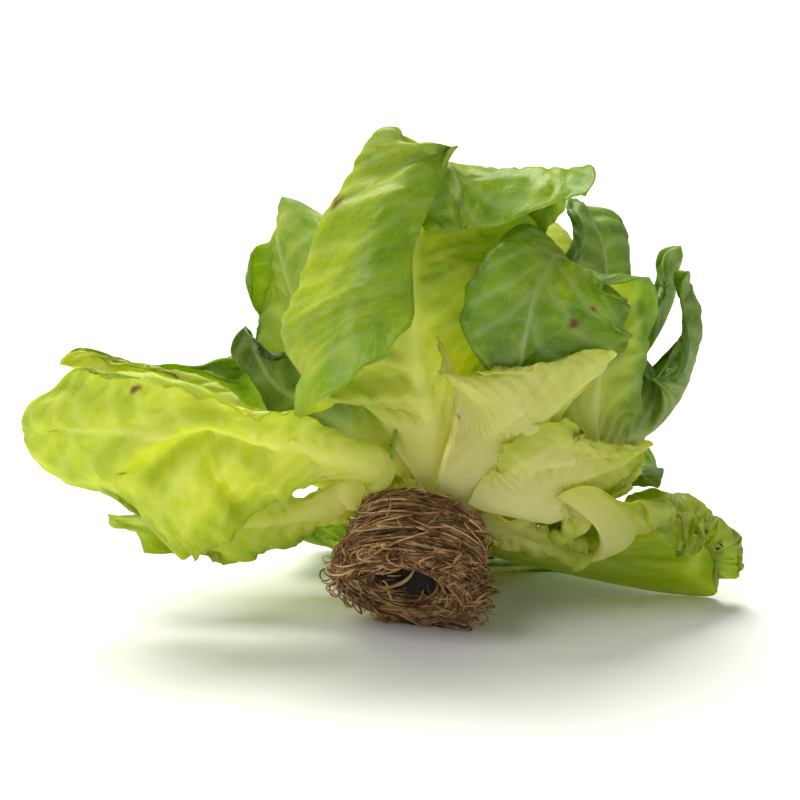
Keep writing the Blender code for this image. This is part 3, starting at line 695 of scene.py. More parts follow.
def shell_quads(rows, columns):
    """Quads for two skins of a grid and the rim between them, all facing out."""
    total = rows * columns
    first = (np.arange(rows - 1)[:, None] * columns + np.arange(columns - 1)[None]).ravel()
    upper = np.stack([first, first + 1, first + columns + 1, first + columns], 1)
    ring = np.array([r * columns + c for r, c in ring_of(rows, columns)])
    after = np.roll(ring, -1)
    rim = np.stack([after, ring, ring + total, after + total], 1)
    return np.concatenate([upper[:, ::-1], upper + total, rim[:, ::-1]])


def quad_mesh(name, points, quads):
    mesh = bpy.data.meshes.new(name)
    mesh.vertices.add(len(points))
    mesh.vertices.foreach_set("co", points.ravel())
    mesh.loops.add(quads.size)
    mesh.loops.foreach_set("vertex_index", quads.ravel().astype(np.int32))
    mesh.polygons.add(len(quads))
    mesh.polygons.foreach_set("loop_start", np.arange(0, quads.size, 4, dtype=np.int32))
    mesh.polygons.foreach_set("use_smooth", np.ones(len(quads), dtype=bool))
    mesh.update(calc_edges=True)
    mesh.validate()
    return mesh


def add_object(name, mesh):
    made = bpy.data.objects.new(name, mesh)
    bpy.context.scene.collection.objects.link(made)
    return made


def marks_of(leaf, x, y, seed):
    """Where the blade is bruised brown, from 0 to 1."""
    bruised = np.zeros(x.shape)
    for along, across, size in leaf.get("marks", ()):
        (mark_x, mark_y), = in_mm(leaf, [(along, across)])
        away = np.hypot(x - mark_x, y - mark_y) * (1 + 0.5 * noise(x / 1.8, y / 1.8, seed + 12))
        bruised = np.maximum(bruised, 1 - smoothstep(0.5 * size, 1.4 * size, away))
    return bruised


def leaf_object(leaf, seed):
    is_heart = leaf["name"].startswith("heart")
    cell = HEART_CELL if is_heart else leaf.get("cell", FINE_CELL)
    breadth = max(leaf["left"]) + max(leaf["right"])
    shape = (round(leaf["midrib"].length / cell), round(breadth / cell))
    rows = np.linspace(0, 1, shape[0])
    columns = np.linspace(-1, 1, shape[1])
    along, across = grid_of(rows, columns)
    points = fine_blade(leaf, rows, columns)
    net = points.reshape(*shape, 3)
    aside = unit(np.gradient(net, axis=1) + 1e-9).reshape(-1, 3) * np.sign(across)[:, None]
    normals = normals_of(points, shape)
    lift, ridge, vein, uneven, x, y = relief(leaf, along, across, seed)
    points = points + lift[:, None] * normals + uneven[:, None] * aside
    normals = normals_of(points, shape)
    half = LEAF_THICKNESS / 2 * (1 + 0.8 * (1 - along) ** 2)
    under = points + (half + ridge)[:, None] * normals
    upper = points - (half - 0.25 * ridge)[:, None] * normals
    both = np.concatenate([under, upper]) + SHIFT
    both[:, 2] = np.maximum(both[:, 2], LOWEST_LEAF)
    mesh = quad_mesh(leaf["name"], both * MM, shell_quads(*shape))
    # Tone is the leaf's greenness, and on the leaves inside the head also painted shade.
    base, middle, margin = leaf["tone"]
    tone = mix(base, middle, smoothstep(0.08, 0.55, along + 0.25 * np.abs(across)))
    at_margin = smoothstep(0.55, 0.95, np.maximum(np.abs(across), along)) * smoothstep(0.12, 0.4, along)
    tone = mix(tone, margin, at_margin)
    values = {
        "under": np.concatenate([np.ones(len(points)), np.zeros(len(points))]),
        "vein": np.tile(vein, 2), "tone": np.tile(tone, 2),
        "mark": np.tile(marks_of(leaf, x, y, seed), 2),
        "rim": np.tile(np.maximum(smoothstep(0.9, 1, np.abs(across)), smoothstep(0.95, 1, along)), 2),
    }
    for name, value in values.items():
        mesh.attributes.new(name, "FLOAT", "POINT").data.foreach_set("value", value.astype(np.float32))
    spread_out = np.stack([np.tile(x, 2), np.tile(y, 2)], 1) / UV_UNIT
    corner_of = np.zeros(len(mesh.loops), dtype=np.int32)
    mesh.loops.foreach_get("vertex_index", corner_of)
    mesh.uv_layers.new(name="blade").data.foreach_set("uv", spread_out[corner_of].ravel())
    return add_object("leaf." + leaf["name"], mesh)


leaf_objects = {leaf["name"]: leaf_object(leaf, 20 + 11 * k) for k, leaf in enumerate(LEAVES)}
print(sum(len(made.data.polygons) for made in leaf_objects.values()), "quads in the leaves")

# %% [markdown]
# ## What a lettuce leaf looks like
#
# A fresh leaf is a thin wet film of green cells. About half of the light that meets it goes through and
# comes out yellower, so a leaf lit from behind glows. The cuticle on the upper side is smooth and gives a
# soft sheen, which is a thin coat on the shader. The shader mixes a Principled surface with a Translucent
# one. The greenness attribute goes through a colour ramp from cream to deep green; its darkest greens,
# reached on the leaves inside the head, are painted shade. Veins lighten it, and a fine net of small
# veins, about 3 mm from one to the next, is drawn with Voronoi cells on the leaf's own UV map.

# %% The leaf material
# Cream to deep green; the deepest greens are painted shade for the leaves inside the head as well as leaf
# colour.
GREENS_AND_SHADE = (
    (0.00, "#F4F1C6"), (0.22, "#E2E486"), (0.45, "#C2D018"), (0.65, "#8DB207"), (0.85, "#507F04"),
    (1.00, "#305803"),
)
NET_SIZE = 3.0
WAX_ROUGHNESS = 0.42


def leaf_material(name, through):
    """The leaf finish. through is the share of light that passes."""
    made = bpy.data.materials.new(name)
    made.use_nodes = True
    tree = made.node_tree
    tree.nodes.clear()
    place = add_node(tree, "ShaderNodeUVMap", {"uv_map": "blade"}).outputs[0]
    read = {key: add_node(tree, "ShaderNodeAttribute", {"attribute_name": key}).outputs["Fac"]
            for key in ("tone", "vein", "under", "rim", "mark")}
    mottle = add_node(tree, "ShaderNodeTexNoise", None,
                      {"Vector": place, "Scale": UV_UNIT / 14, "Detail": 4.0, "Roughness": 0.6})
    shift = add_node(tree, "ShaderNodeMapRange", None,
                     {0: mottle.outputs["Fac"], 1: 0.3, 2: 0.7, 3: -0.09, 4: 0.09})
    # Tone plus mottle; its deep end is painted shade on the inner leaves.
    green_and_shade = add_node(tree, "ShaderNodeMath", {"operation": "ADD"}, {0: read["tone"], 1: shift.outputs[0]})
    ramp = add_node(tree, "ShaderNodeValToRGB", None, {"Fac": green_and_shade.outputs[0]})
    while len(ramp.color_ramp.elements) < len(GREENS_AND_SHADE):
        ramp.color_ramp.elements.new(0.5)
    for element, (position, colour) in zip(ramp.color_ramp.elements, GREENS_AND_SHADE):
        element.position = position
        element.color = linear(colour)
    warp = add_node(tree, "ShaderNodeTexNoise", None, {"Vector": place, "Scale": UV_UNIT / 6, "Detail": 2.0})
    bent = add_node(tree, "ShaderNodeMix", {"data_type": "VECTOR"},
                    {"Factor": 0.03, 4: place, 5: warp.outputs["Color"]})
    net = add_node(tree, "ShaderNodeTexVoronoi", {"feature": "DISTANCE_TO_EDGE"},
                   {"Vector": bent.outputs[1], "Scale": UV_UNIT / NET_SIZE})
    thread = add_node(tree, "ShaderNodeMapRange", {"interpolation_type": "SMOOTHSTEP"},
                      {0: net.outputs["Distance"], 1: 0.0, 2: 0.12, 3: 1.0, 4: 0.0})
    faint = add_node(tree, "ShaderNodeMath", {"operation": "MULTIPLY"}, {0: thread.outputs[0], 1: 0.24})
    pale = add_node(tree, "ShaderNodeMath", {"operation": "MAXIMUM"}, {0: read["vein"], 1: faint.outputs[0]})
    pale_share = add_node(tree, "ShaderNodeMath", {"operation": "MULTIPLY"}, {0: pale.outputs[0], 1: 0.48})
    veined = add_node(tree, "ShaderNodeMix", {"data_type": "RGBA"},
                      {"Factor": pale_share.outputs[0], 6: ramp.outputs[0], 7: linear("#EEF0BC")})
    under_share = add_node(tree, "ShaderNodeMath", {"operation": "MULTIPLY"}, {0: read["under"], 1: 0.2})
    sided = add_node(tree, "ShaderNodeMix", {"data_type": "RGBA"},
                     {"Factor": under_share.outputs[0], 6: veined.outputs[2], 7: linear("#CEDB7C")})
    spots = add_node(tree, "ShaderNodeTexNoise", None,
                     {"Vector": place, "Scale": UV_UNIT / 9, "Detail": 3.0, "Roughness": 0.55})
    spot = add_node(tree, "ShaderNodeMapRange", {"interpolation_type": "SMOOTHSTEP"},
                    {0: spots.outputs["Fac"], 1: 0.68, 2: 0.74, 3: 0.0, 4: 1.0})
    edge_spot = add_node(tree, "ShaderNodeMath", {"operation": "MULTIPLY"},
                         {0: spot.outputs[0], 1: read["rim"]})
    brown = add_node(tree, "ShaderNodeMath", {"operation": "MAXIMUM"},
                     {0: edge_spot.outputs[0], 1: read["mark"]})
    browned = add_node(tree, "ShaderNodeMix", {"data_type": "RGBA"},
                       {"Factor": brown.outputs[0], 6: sided.outputs[2], 7: linear("#7A5A1E")})
    glow = add_node(tree, "ShaderNodeHueSaturation", None,
                    {"Hue": 0.487, "Saturation": 1.1, "Value": 1.3, "Color": browned.outputs[2]})
    grain = add_node(tree, "ShaderNodeTexNoise", None,
                     {"Vector": place, "Scale": UV_UNIT / 1.2, "Detail": 2.0})
    relief_height = add_node(tree, "ShaderNodeMath", {"operation": "MULTIPLY_ADD"},
                             {0: grain.outputs["Fac"], 1: 0.5, 2: thread.outputs[0]})
    bump = add_node(tree, "ShaderNodeBump", None,
                    {"Strength": 0.35, "Distance": 0.2 * MM, "Height": relief_height.outputs[0]})
    dull = add_node(tree, "ShaderNodeMapRange", None,
                    {0: read["under"], 3: WAX_ROUGHNESS, 4: WAX_ROUGHNESS + 0.14})
    surface = add_node(tree, "ShaderNodeBsdfPrincipled", None,
                       {"Base Color": browned.outputs[2], "Roughness": dull.outputs[0],
                        "IOR": 1.5, "Coat Weight": 0.3, "Coat Roughness": 0.3, "Normal": bump.outputs[0]})
    through_light = add_node(tree, "ShaderNodeBsdfTranslucent", None,
                             {"Color": glow.outputs[0], "Normal": bump.outputs[0]})
    both = add_node(tree, "ShaderNodeMixShader", None,
                    {0: through, 1: surface.outputs[0], 2: through_light.outputs[0]})
    add_node(tree, "ShaderNodeOutputMaterial", None, {"Surface": both.outputs[0]})
    return made


outer_leaf = leaf_material("lettuce leaf, outer", 0.54)
heart_leaf_finish = leaf_material("lettuce leaf, heart", 0.6)
for name, made in leaf_objects.items():
    made.data.materials.append(heart_leaf_finish if name.startswith("heart") else outer_leaf)

# %% [markdown]
# ## The root plug
#
# Lettuce grown in water keeps a plug of white roots that dries to brown string, coiled round the shape of
# its net pot. Under the string is a dark, matted core with a hollow in its foot. The core is a turned
# surface pushed in and out by noise. The hollow is part of the turned profile.

# %% The matted core
BALL_ROUNDING = 5.0
HOLLOW_RADIUS = 13.0
HOLLOW_DEPTH = 7.0
CORE_SINK = 1.6
CORE_SIDES = 120
CORE_ROWS = 90
STAND = Matrix(np.array([RIGHT, -FRONT, AXIS]).T.tolist()).to_4x4()
STAND.translation = (CROWN + SHIFT) * MM


def turned_mesh(name, profile, rows, sides, push):
    """Turns a profile of (radius, height) points about Z. push(angle, radius, height) moves it out."""
    profile = np.array(profile, float)
    length = np.concatenate([[0], np.cumsum(np.linalg.norm(np.diff(profile, axis=0), axis=1))])
    place = np.linspace(0, length[-1], rows)
    radius, height = (np.interp(place, length, profile[:, k]) for k in (0, 1))
    angle = 2 * math.pi * np.arange(sides) / sides
    turn, out = np.meshgrid(angle, radius)
    high = np.repeat(height[:, None], sides, axis=1)
    out = out + push(turn, out, high) * smoothstep(0, 4, out)
    points = np.stack([out * np.cos(turn), out * np.sin(turn), high], 2).reshape(-1, 3)
    first = (np.arange(rows - 1)[:, None] * sides + np.arange(sides)[None]).ravel()
    after = (np.arange(rows - 1)[:, None] * sides + (np.arange(sides)[None] + 1) % sides).ravel()
    mesh = quad_mesh(name, points * MM, np.stack([first, first + sides, after + sides, after], 1))
    shape = bmesh.new()
    shape.from_mesh(mesh)
    bmesh.ops.remove_doubles(shape, verts=shape.verts, dist=0.01 * MM)
    bmesh.ops.recalc_face_normals(shape, faces=shape.faces)
    shape.to_mesh(mesh)
    shape.free()
    mesh.transform(STAND)
    return mesh


def matted(turn, out, high):
    """The core's lumps and the grooves that its roots leave, in mm."""
    lumps = 1.6 * noise(3 * np.cos(turn) + 9, 3 * np.sin(turn) + high / 9 + 9, 1)
    grooves = 0.8 * noise(turn * 2.5 + high / 20, high / 1.7, 2)
    return lumps + grooves - CORE_SINK


core_profile = [
    (0, -1.0), (BALL_TOP_RADIUS - 4, -1.0), (BALL_TOP_RADIUS - 1, -4), (BALL_FOOT_RADIUS, -BALL_LENGTH + 6),
    (BALL_FOOT_RADIUS - 1.5, -BALL_LENGTH + 3.5), (BALL_FOOT_RADIUS - BALL_ROUNDING, -BALL_LENGTH + 2.2),
    (HOLLOW_RADIUS, -BALL_LENGTH + HOLLOW_DEPTH), (0.5 * HOLLOW_RADIUS, -BALL_LENGTH + 1.8 * HOLLOW_DEPTH),
    (0, -BALL_LENGTH + 1.8 * HOLLOW_DEPTH),
]
core_mesh = turned_mesh("root_core", core_profile, CORE_ROWS, CORE_SIDES, matted)
root_core = add_object("root_plug.core", core_mesh)
stem = add_object("stem.cream", turned_mesh("stem_body", STEM_PROFILE, 30, 48, lambda t, r, h: 0 * r))
print("core", len(root_core.data.polygons), "faces; stem", len(stem.data.polygons), "faces")

# %% [markdown]
# ## Roots, wound by Geometry Nodes
#
# Hundreds of roots run round the core, each a little higher or lower and at its own slant. One node tree
# does it. A line of points, one for each root, carries a straight curve to each point. The curves are made
# real, and each curve's points are then placed by a formula of the root's number and how far along it the
# point is. Curve to Mesh gives each a thickness. The same tree, with other numbers, makes the stray hairs,
# the curls at the foot and a few thick roots. The formula is a table of small sums, each with a name.

# %% What is drawn by chance for each root
FULL_TURN = 2 * math.pi
DRAWS = (
    ("arc share", 1, 0.0, 1.0), ("first angle", 2, 0.0, FULL_TURN), ("slant share", 3, -0.5, 1.3),
    ("wave phase", 4, 0.0, FULL_TURN), ("wave height", 5, 0.2 * MM, 1.6 * MM), ("start share", 6, 0.0, 1.0),
    ("swell phase", 7, 0.0, FULL_TURN), ("loose share", 8, 0.0, 1.0), ("depth", 9, -1.4 * MM, 1.0 * MM),
    ("thick share", 10, 0.4, 1.5), ("shade share", 11, 0.0, 0.8), ("thin shade", 10, 0.0, 0.2),
    ("foot rise", 12, 0.0, 1.6 * MM), ("curl phase", 13, 0.0, FULL_TURN),
)

# %% How a point of a root is placed
WAVES_A_RADIAN = 2.3
SWELLS_A_RADIAN = 3.7
SWELL_HEIGHT = 0.5 * MM
CORNER_SHARPNESS = 12.0
CORNER_TUCK = 2.6 * MM
HOLLOW_RISE = 18.0 * MM
TOP_MARGIN = 0.5 * MM
CURL_ANGLE = 8.2
CURL_ROUND = 24.0 * MM
STEPS = (
    ("arc more", "SUBTRACT", "Longest arc", "Shortest arc"),
    ("arc", "MULTIPLY_ADD", "arc share", "arc more", "Shortest arc"),
    ("angle", "MULTIPLY_ADD", "arc", "far", "first angle"),
    ("middle", "SUBTRACT", "far", 0.5),
    ("slant", "MULTIPLY", "slant share", "Slant"),
    ("waving", "MULTIPLY_ADD", "angle", WAVES_A_RADIAN, "wave phase"),
    ("wave sine", "SINE", "waving"),
    ("wave", "MULTIPLY", "wave sine", "wave height"),
    ("start range", "SUBTRACT", "Highest start", "Lowest start"),
    ("start", "MULTIPLY_ADD", "start share", "start range", "Lowest start"),
    ("start height", "MULTIPLY", "start", "Length"),
    ("slanted", "MULTIPLY_ADD", "slant", "middle", "start height"),
    ("height", "ADD", "slanted", "wave"),
    ("depth of plug", "MULTIPLY", "Length", -1.0),
    ("down", "DIVIDE", "height", "depth of plug"),
    ("below top", "MAXIMUM", "down", 0.0),
    ("on side", "MINIMUM", "below top", 1.0),
    ("past side", "SUBTRACT", "down", 1.0),
    ("on foot", "MAXIMUM", "past side", 0.0),
    ("wider", "SUBTRACT", "Foot radius", "Top radius"),
    ("side wall", "MULTIPLY_ADD", "on side", "wider", "Top radius"),
    ("drawn in", "MULTIPLY", "on foot", "Length"),
    ("wall", "SUBTRACT", "side wall", "drawn in"),
    ("off corner", "ABSOLUTE", "past side"),
    ("corner", "MULTIPLY", "off corner", CORNER_SHARPNESS),
    ("corner fall", "MULTIPLY_ADD", "corner", "corner", 1.0),
    ("tuck", "DIVIDE", -CORNER_TUCK, "corner fall"),
    ("foot squared", "MULTIPLY", "on foot", "on foot"),
    ("dent", "MULTIPLY", "foot squared", HOLLOW_RISE),
    ("kept below top", "MINIMUM", "height", -TOP_MARGIN),
    ("foot height", "MULTIPLY_ADD", "Length", -1.0, "dent"),
    ("lowest", "ADD", "foot height", "foot rise"),
    ("laid height", "MAXIMUM", "kept below top", "lowest"),
    ("rising", "MULTIPLY_ADD", "angle", SWELLS_A_RADIAN, "swell phase"),
    ("swell sine", "SINE", "rising"),
    ("swell", "MULTIPLY", "swell sine", SWELL_HEIGHT),
    ("few loose", "POWER", "loose share", 5.0),
    ("loose", "MULTIPLY", "few loose", "Looseness"),
    ("off middle", "MULTIPLY", "middle", 2.0),
    ("to an end", "ABSOLUTE", "off middle"),
    ("ends", "POWER", "to an end", 6.0),
    ("flung", "MULTIPLY", "loose", "ends"),
    ("swollen wall", "ADD", "wall", "swell"),
    ("off wall", "ADD", "flung", "depth"),
    ("loose out", "ADD", "swollen wall", "off wall"),
    ("tucked out", "ADD", "loose out", "tuck"),
    ("turn", "MULTIPLY_ADD", "far", CURL_ANGLE, "curl phase"),
    ("turn cosine", "COSINE", "turn"),
    ("across curl", "MULTIPLY", "turn cosine", "Curl"),
    ("turn sine", "SINE", "turn"),
    ("curl out", "ADD", "turn sine", 0.7),
    ("out", "MULTIPLY_ADD", "curl out", "Curl", "tucked out"),
    ("curl angle", "DIVIDE", "across curl", CURL_ROUND),
    ("curled angle", "ADD", "angle", "curl angle"),
    ("z", "MULTIPLY_ADD", "across curl", 0.6, "laid height"),
    ("cosine", "COSINE", "curled angle"),
    ("sine", "SINE", "curled angle"),
    ("x", "MULTIPLY", "out", "cosine"),
    ("y", "MULTIPLY", "out", "sine"),
    ("thinning", "MULTIPLY", "ends", 0.75),
    ("taper", "SUBTRACT", 1.0, "thinning"),
    ("own thickness", "MULTIPLY", "thick share", "Thickness"),
    ("thick", "MULTIPLY", "own thickness", "taper"),
    ("shade", "ADD", "shade share", "thin shade"),
)
print(len(DRAWS), "draws and", len(STEPS), "steps place a root")

# %% The winding tree
SIZES = (
    ("Count", "Int"), ("Segments", "Int"), ("Seed", "Int"), ("Shortest arc", "Float"),
    ("Longest arc", "Float"), ("Slant", "Float"), ("Thickness", "Float"), ("Looseness", "Float"),
    ("Lowest start", "Float"), ("Highest start", "Float"), ("Curl", "Float"),
    ("Top radius", "Float"), ("Foot radius", "Float"), ("Length", "Float"), ("Finish", "Material"),
)


def winding_tree(name):
    """The tree that winds the roots. Each draw and step is named, and later steps read it by name."""
    tree = bpy.data.node_groups.new(name, "GeometryNodeTree")
    tree.interface.new_socket("Geometry", in_out="OUTPUT", socket_type="NodeSocketGeometry")
    tree.interface.new_socket("Geometry", in_out="INPUT", socket_type="NodeSocketGeometry")
    for label, kind in SIZES:
        tree.interface.new_socket(label, in_out="INPUT", socket_type="NodeSocket" + kind)
    given = add_node(tree, "NodeGroupInput").outputs
    line = add_node(tree, "GeometryNodeMeshLine", None, {"Count": given["Count"]})
    number = add_node(tree, "GeometryNodeInputIndex").outputs[0]
    numbered = add_node(tree, "GeometryNodeStoreNamedAttribute", {"data_type": "INT"},
                        {"Geometry": line.outputs[0], "Name": "root", "Value": number})
    straight = add_node(tree, "GeometryNodeCurvePrimitiveLine")
    divided = add_node(tree, "GeometryNodeResampleCurve", None,
                       {"Curve": straight.outputs[0], "Count": given["Segments"]})
    placed = add_node(tree, "GeometryNodeInstanceOnPoints", None,
                      {"Points": numbered.outputs[0], "Instance": divided.outputs[0]})
    curves = add_node(tree, "GeometryNodeRealizeInstances", None, {0: placed.outputs[0]})
    root = add_node(tree, "GeometryNodeInputNamedAttribute", {"data_type": "INT"}, {"Name": "root"})
    at = {label: given[label] for label, kind in SIZES}
    at["far"] = add_node(tree, "GeometryNodeSplineParameter").outputs["Factor"]
    for made, key, low, high in DRAWS:
        seed = add_node(tree, "ShaderNodeMath", {"operation": "ADD"}, {0: at["Seed"], 1: float(key)})
        drawn = add_node(tree, "FunctionNodeRandomValue", {"data_type": "FLOAT"},
                         {"ID": root.outputs[0], "Seed": seed.outputs[0], 2: low, 3: high})
        at[made] = drawn.outputs[1]
    for made, operation, *parts in STEPS:
        inputs = {place: at.get(part, part) for place, part in enumerate(parts)}
        at[made] = add_node(tree, "ShaderNodeMath", {"operation": operation}, inputs).outputs[0]
    place = add_node(tree, "ShaderNodeCombineXYZ", None, {0: at["x"], 1: at["y"], 2: at["z"]})
    wound = add_node(tree, "GeometryNodeSetPosition", None,
                     {"Geometry": curves.outputs[0], "Position": place.outputs[0]})
    sized = add_node(tree, "GeometryNodeSetCurveRadius", None,
                     {"Curve": wound.outputs[0], "Radius": at["thick"]})
    shaded = add_node(tree, "GeometryNodeStoreNamedAttribute", {"data_type": "FLOAT"},
                      {"Geometry": sized.outputs[0], "Name": "shade", "Value": at["shade"]})
    ring = add_node(tree, "GeometryNodeCurvePrimitiveCircle", None, {"Resolution": 4, "Radius": 1.0})
    radius = add_node(tree, "GeometryNodeInputRadius").outputs[0]
    tube = add_node(tree, "GeometryNodeCurveToMesh", None,
                    {"Curve": shaded.outputs[0], "Profile Curve": ring.outputs[0], "Scale": radius,
                     "Fill Caps": True})
    real = add_node(tree, "GeometryNodeRealizeInstances", None, {0: tube.outputs[0]})
    finished = add_node(tree, "GeometryNodeSetMaterial", None,
                        {"Geometry": real.outputs[0], "Material": given["Finish"]})
    add_node(tree, "NodeGroupOutput", None, {0: finished.outputs[0]})
    return tree


# %% [markdown]
# ## Dried root and matted soil
#
# A dried root is cellulose string: matt, from straw to dark umber, each one its own shade, with darker
# stretches where it has rotted. The core between is nearly black-brown and rough.

# %% The root materials
def fibre_material(name, colours, grain_mm, bump_mm):
    """Dry plant fibre. colours is a ramp by each root's own shade."""
    made = bpy.data.materials.new(name)
    made.use_nodes = True
    tree = made.node_tree
    tree.nodes.clear()
    place = add_node(tree, "ShaderNodeTexCoord").outputs["Object"]
    shade = add_node(tree, "ShaderNodeAttribute", {"attribute_name": "shade"}).outputs["Fac"]
    blotch = add_node(tree, "ShaderNodeTexNoise", None,
                      {"Vector": place, "Scale": 1 / (grain_mm * MM), "Detail": 5.0, "Roughness": 0.65})
    spread_shade = add_node(tree, "ShaderNodeMapRange", None,
                            {0: blotch.outputs["Fac"], 1: 0.3, 2: 0.7, 3: -0.3, 4: 0.3})
    total = add_node(tree, "ShaderNodeMath", {"operation": "ADD"}, {0: shade, 1: spread_shade.outputs[0]})
    ramp = add_node(tree, "ShaderNodeValToRGB", None, {"Fac": total.outputs[0]})
    while len(ramp.color_ramp.elements) < len(colours):
        ramp.color_ramp.elements.new(0.5)
    for element, (position, colour) in zip(ramp.color_ramp.elements, colours):
        element.position = position
        element.color = linear(colour)
    bump = add_node(tree, "ShaderNodeBump", None,
                    {"Strength": 0.8, "Distance": bump_mm * MM, "Height": blotch.outputs["Fac"]})
    surface = add_node(tree, "ShaderNodeBsdfPrincipled", None,
                       {"Base Color": ramp.outputs[0], "Roughness": 0.72, "IOR": 1.45,
                        "Normal": bump.outputs[0]})
    add_node(tree, "ShaderNodeOutputMaterial", None, {"Surface": surface.outputs[0]})
    return made


STRAW = ((0.0, "#3B2816"), (0.3, "#6A4A2A"), (0.62, "#9C7344"), (1.0, "#D9B480"))
UMBER = ((0.0, "#1A110A"), (0.5, "#2E1F12"), (1.0, "#4C351F"))
dried_root = fibre_material("dried root", STRAW, 7.0, 0.15)
matted_root = fibre_material("matted root", UMBER, 3.0, 0.6)
root_core.data.materials.append(matted_root)

# %% Winding the roots
LOWEST_ROOT = 0.1
winding = winding_tree("wind roots round a plug")
SOCKET_OF = {item.name: item.identifier for item in winding.interface.items_tree if item.in_out == "INPUT"}


def wound_roots(name, settings):
    """Runs the winding tree once and keeps the result as a plain mesh."""
    maker = add_object(name + ".maker", bpy.data.meshes.new(name))
    wind = maker.modifiers.new("wind", "NODES")
    wind.node_group = winding
    fixed = {
        "Top radius": BALL_TOP_RADIUS * MM, "Foot radius": BALL_FOOT_RADIUS * MM,
        "Length": BALL_LENGTH * MM, "Finish": dried_root, "Lowest start": -1.5, "Highest start": -0.03,
        "Curl": 0.0,
    }
    for key, value in {**fixed, **settings}.items():
        wind[SOCKET_OF[key]] = value
    bpy.context.view_layer.update()
    ready = maker.evaluated_get(bpy.context.evaluated_depsgraph_get())
    mesh = bpy.data.meshes.new_from_object(ready)
    bpy.data.objects.remove(maker)
    mesh.transform(STAND)
    for vertex in mesh.vertices:
        vertex.co.z = max(vertex.co.z, LOWEST_ROOT * MM)
    for polygon in mesh.polygons:
        polygon.use_smooth = True
    print(name, len(mesh.polygons), "faces")
    return add_object(name, mesh)


roots = wound_roots("root_plug.roots", {
    "Count": 1000, "Segments": 16, "Seed": 3, "Shortest arc": 0.7, "Longest arc": 2.8,
    "Slant": 13 * MM, "Thickness": 0.36 * MM, "Looseness": 5 * MM,
})
hairs = wound_roots("root_plug.hairs", {
    "Count": 260, "Segments": 14, "Seed": 61, "Shortest arc": 0.4, "Longest arc": 1.4,
    "Slant": 26 * MM, "Thickness": 0.2 * MM, "Looseness": 9 * MM, "Curl": 1.5 * MM,
})
curls = wound_roots("root_plug.curls", {
    "Count": 110, "Segments": 22, "Seed": 90, "Shortest arc": 0.3, "Longest arc": 1.1,
    "Slant": 10 * MM, "Thickness": 0.42 * MM, "Looseness": 3 * MM, "Lowest start": -1.5,
    "Highest start": -0.8, "Curl": 3.6 * MM,
})
thick_roots = wound_roots("root_plug.thick", {
    "Count": 34, "Segments": 24, "Seed": 140, "Shortest arc": 1.0, "Longest arc": 3.2,
    "Slant": 24 * MM, "Thickness": 0.75 * MM, "Looseness": 3 * MM,
})

# %% [markdown]
# ## The stem
#
# The cut stem is crisp, wet and nearly white. It is hidden between the leaf bases but glows a little.

# %% The stem's finish
def stem_material():
    made = bpy.data.materials.new("lettuce stem")
    made.use_nodes = True
    tree = made.node_tree
    surface = tree.nodes["Principled BSDF"]
    place = add_node(tree, "ShaderNodeTexCoord").outputs["Object"]
    streak = add_node(tree, "ShaderNodeTexNoise", None, {"Vector": place, "Scale": 220.0, "Detail": 3.0})
    colour = add_node(tree, "ShaderNodeMix", {"data_type": "RGBA"},
                      {"Factor": streak.outputs["Fac"], 6: linear("#E4E6BC"), 7: linear("#BFCB86")})
    tree.links.new(colour.outputs[2], surface.inputs["Base Color"])
    surface.inputs["Roughness"].default_value = 0.45
    surface.inputs["IOR"].default_value = 1.4
    return made


stem.data.materials.append(stem_material())

# %% [markdown]
# ## Floor, light and camera
#
# A pale sweep and a soft, high light from behind on the left, so that light comes through the leaves
# towards the camera and the shadow falls forward and to the right. The world is a pale fill.

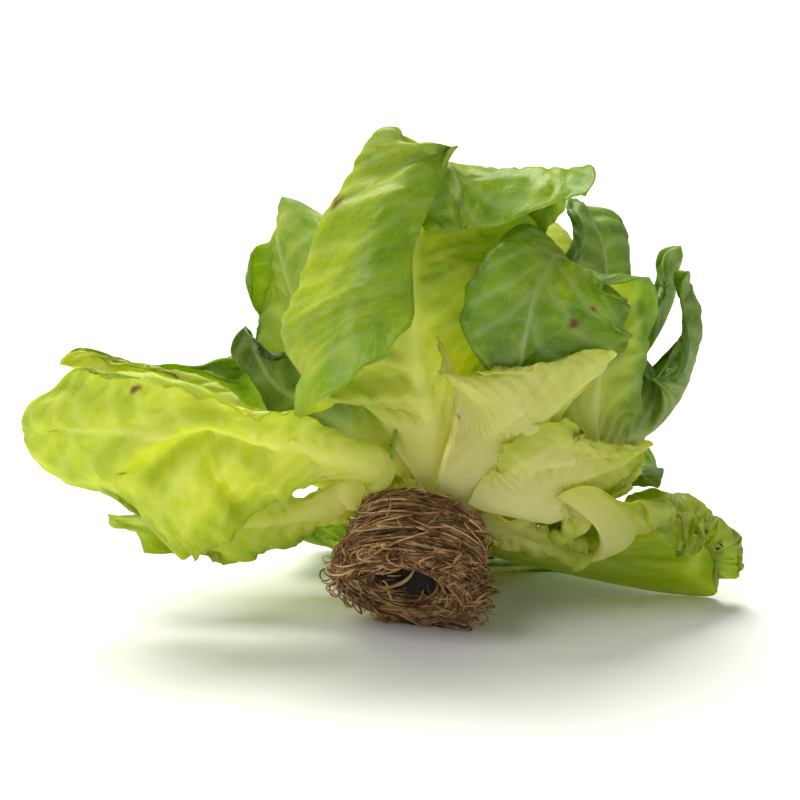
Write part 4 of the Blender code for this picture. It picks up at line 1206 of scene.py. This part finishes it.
# %% The studio
floor_mesh = bpy.data.meshes.new("floor")
FLOOR_HALF = 80.0
floor_corners = [(-FLOOR_HALF, -FLOOR_HALF, 0), (FLOOR_HALF, -FLOOR_HALF, 0),
                 (FLOOR_HALF, FLOOR_HALF, 0), (-FLOOR_HALF, FLOOR_HALF, 0)]
floor_mesh.from_pydata(floor_corners, [], [(0, 1, 2, 3)])
floor = add_object("floor", floor_mesh)
floor_finish = bpy.data.materials.new("white sweep")
floor_finish.use_nodes = True
floor_finish.node_tree.nodes["Principled BSDF"].inputs["Base Color"].default_value = linear("#F4F4F2")
floor_finish.node_tree.nodes["Principled BSDF"].inputs["Roughness"].default_value = 0.9
floor_mesh.materials.append(floor_finish)

world = bpy.data.worlds.new("studio")
world.use_nodes = True
world.node_tree.nodes["Background"].inputs["Color"].default_value = linear("#FFFFFF")
world.node_tree.nodes["Background"].inputs["Strength"].default_value = 0.32
bpy.context.scene.world = world


def add_sun(name, azimuth, elevation, strength, softness, colour):
    """A distant light. azimuth 0 shines from the front, 90 from the right, 180 from behind."""
    lamp = bpy.data.lights.new(name, "SUN")
    lamp.energy = strength
    lamp.angle = math.radians(softness)
    lamp.color = linear(colour)[:3]
    made = bpy.data.objects.new(name, lamp)
    bpy.context.scene.collection.objects.link(made)
    made.rotation_euler = (math.radians(90 - elevation), 0, math.radians(azimuth))
    return made


add_sun("key", 205, 60, 4.2, 50, "#FFFCF2")
add_sun("fill", 312, 46, 1.0, 28, "#F8FAFF")

CAMERA_TARGET = np.array([-4, 0, 93]) + SHIFT
CAMERA_DISTANCE = 800
CAMERA_ELEVATION = math.radians(12)
CAMERA_LENS = 90
CAMERA_SENSOR = 36
camera_data = bpy.data.cameras.new("camera")
camera_data.lens = CAMERA_LENS
camera_data.sensor_width = CAMERA_SENSOR
camera = bpy.data.objects.new("camera", camera_data)
bpy.context.scene.collection.objects.link(camera)
away = np.array([0, -math.cos(CAMERA_ELEVATION), math.sin(CAMERA_ELEVATION)])
camera.location = (CAMERA_TARGET + CAMERA_DISTANCE * away) * MM
camera.rotation_euler = (math.pi / 2 - CAMERA_ELEVATION, 0, 0)
bpy.context.scene.camera = camera
bpy.context.scene.view_settings.view_transform = "Standard"

# %% [markdown]
# ## Handing the pieces over
#
# The frame moves whole bodies. Nothing on a lettuce turns or slides, so every piece rides on the
# one body. Each leaf stands for its own plate, the core stands for the root plug, and the floor is only
# scenery.

# %% Hand every piece to the frame
for name, made in leaf_objects.items():
    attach(made, "root")
    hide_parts(name)
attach(root_core, "root")
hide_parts("root_ball")
for made in (roots, hairs, curls, thick_roots):
    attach(made, "root")
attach(stem, "root")
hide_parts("stem")
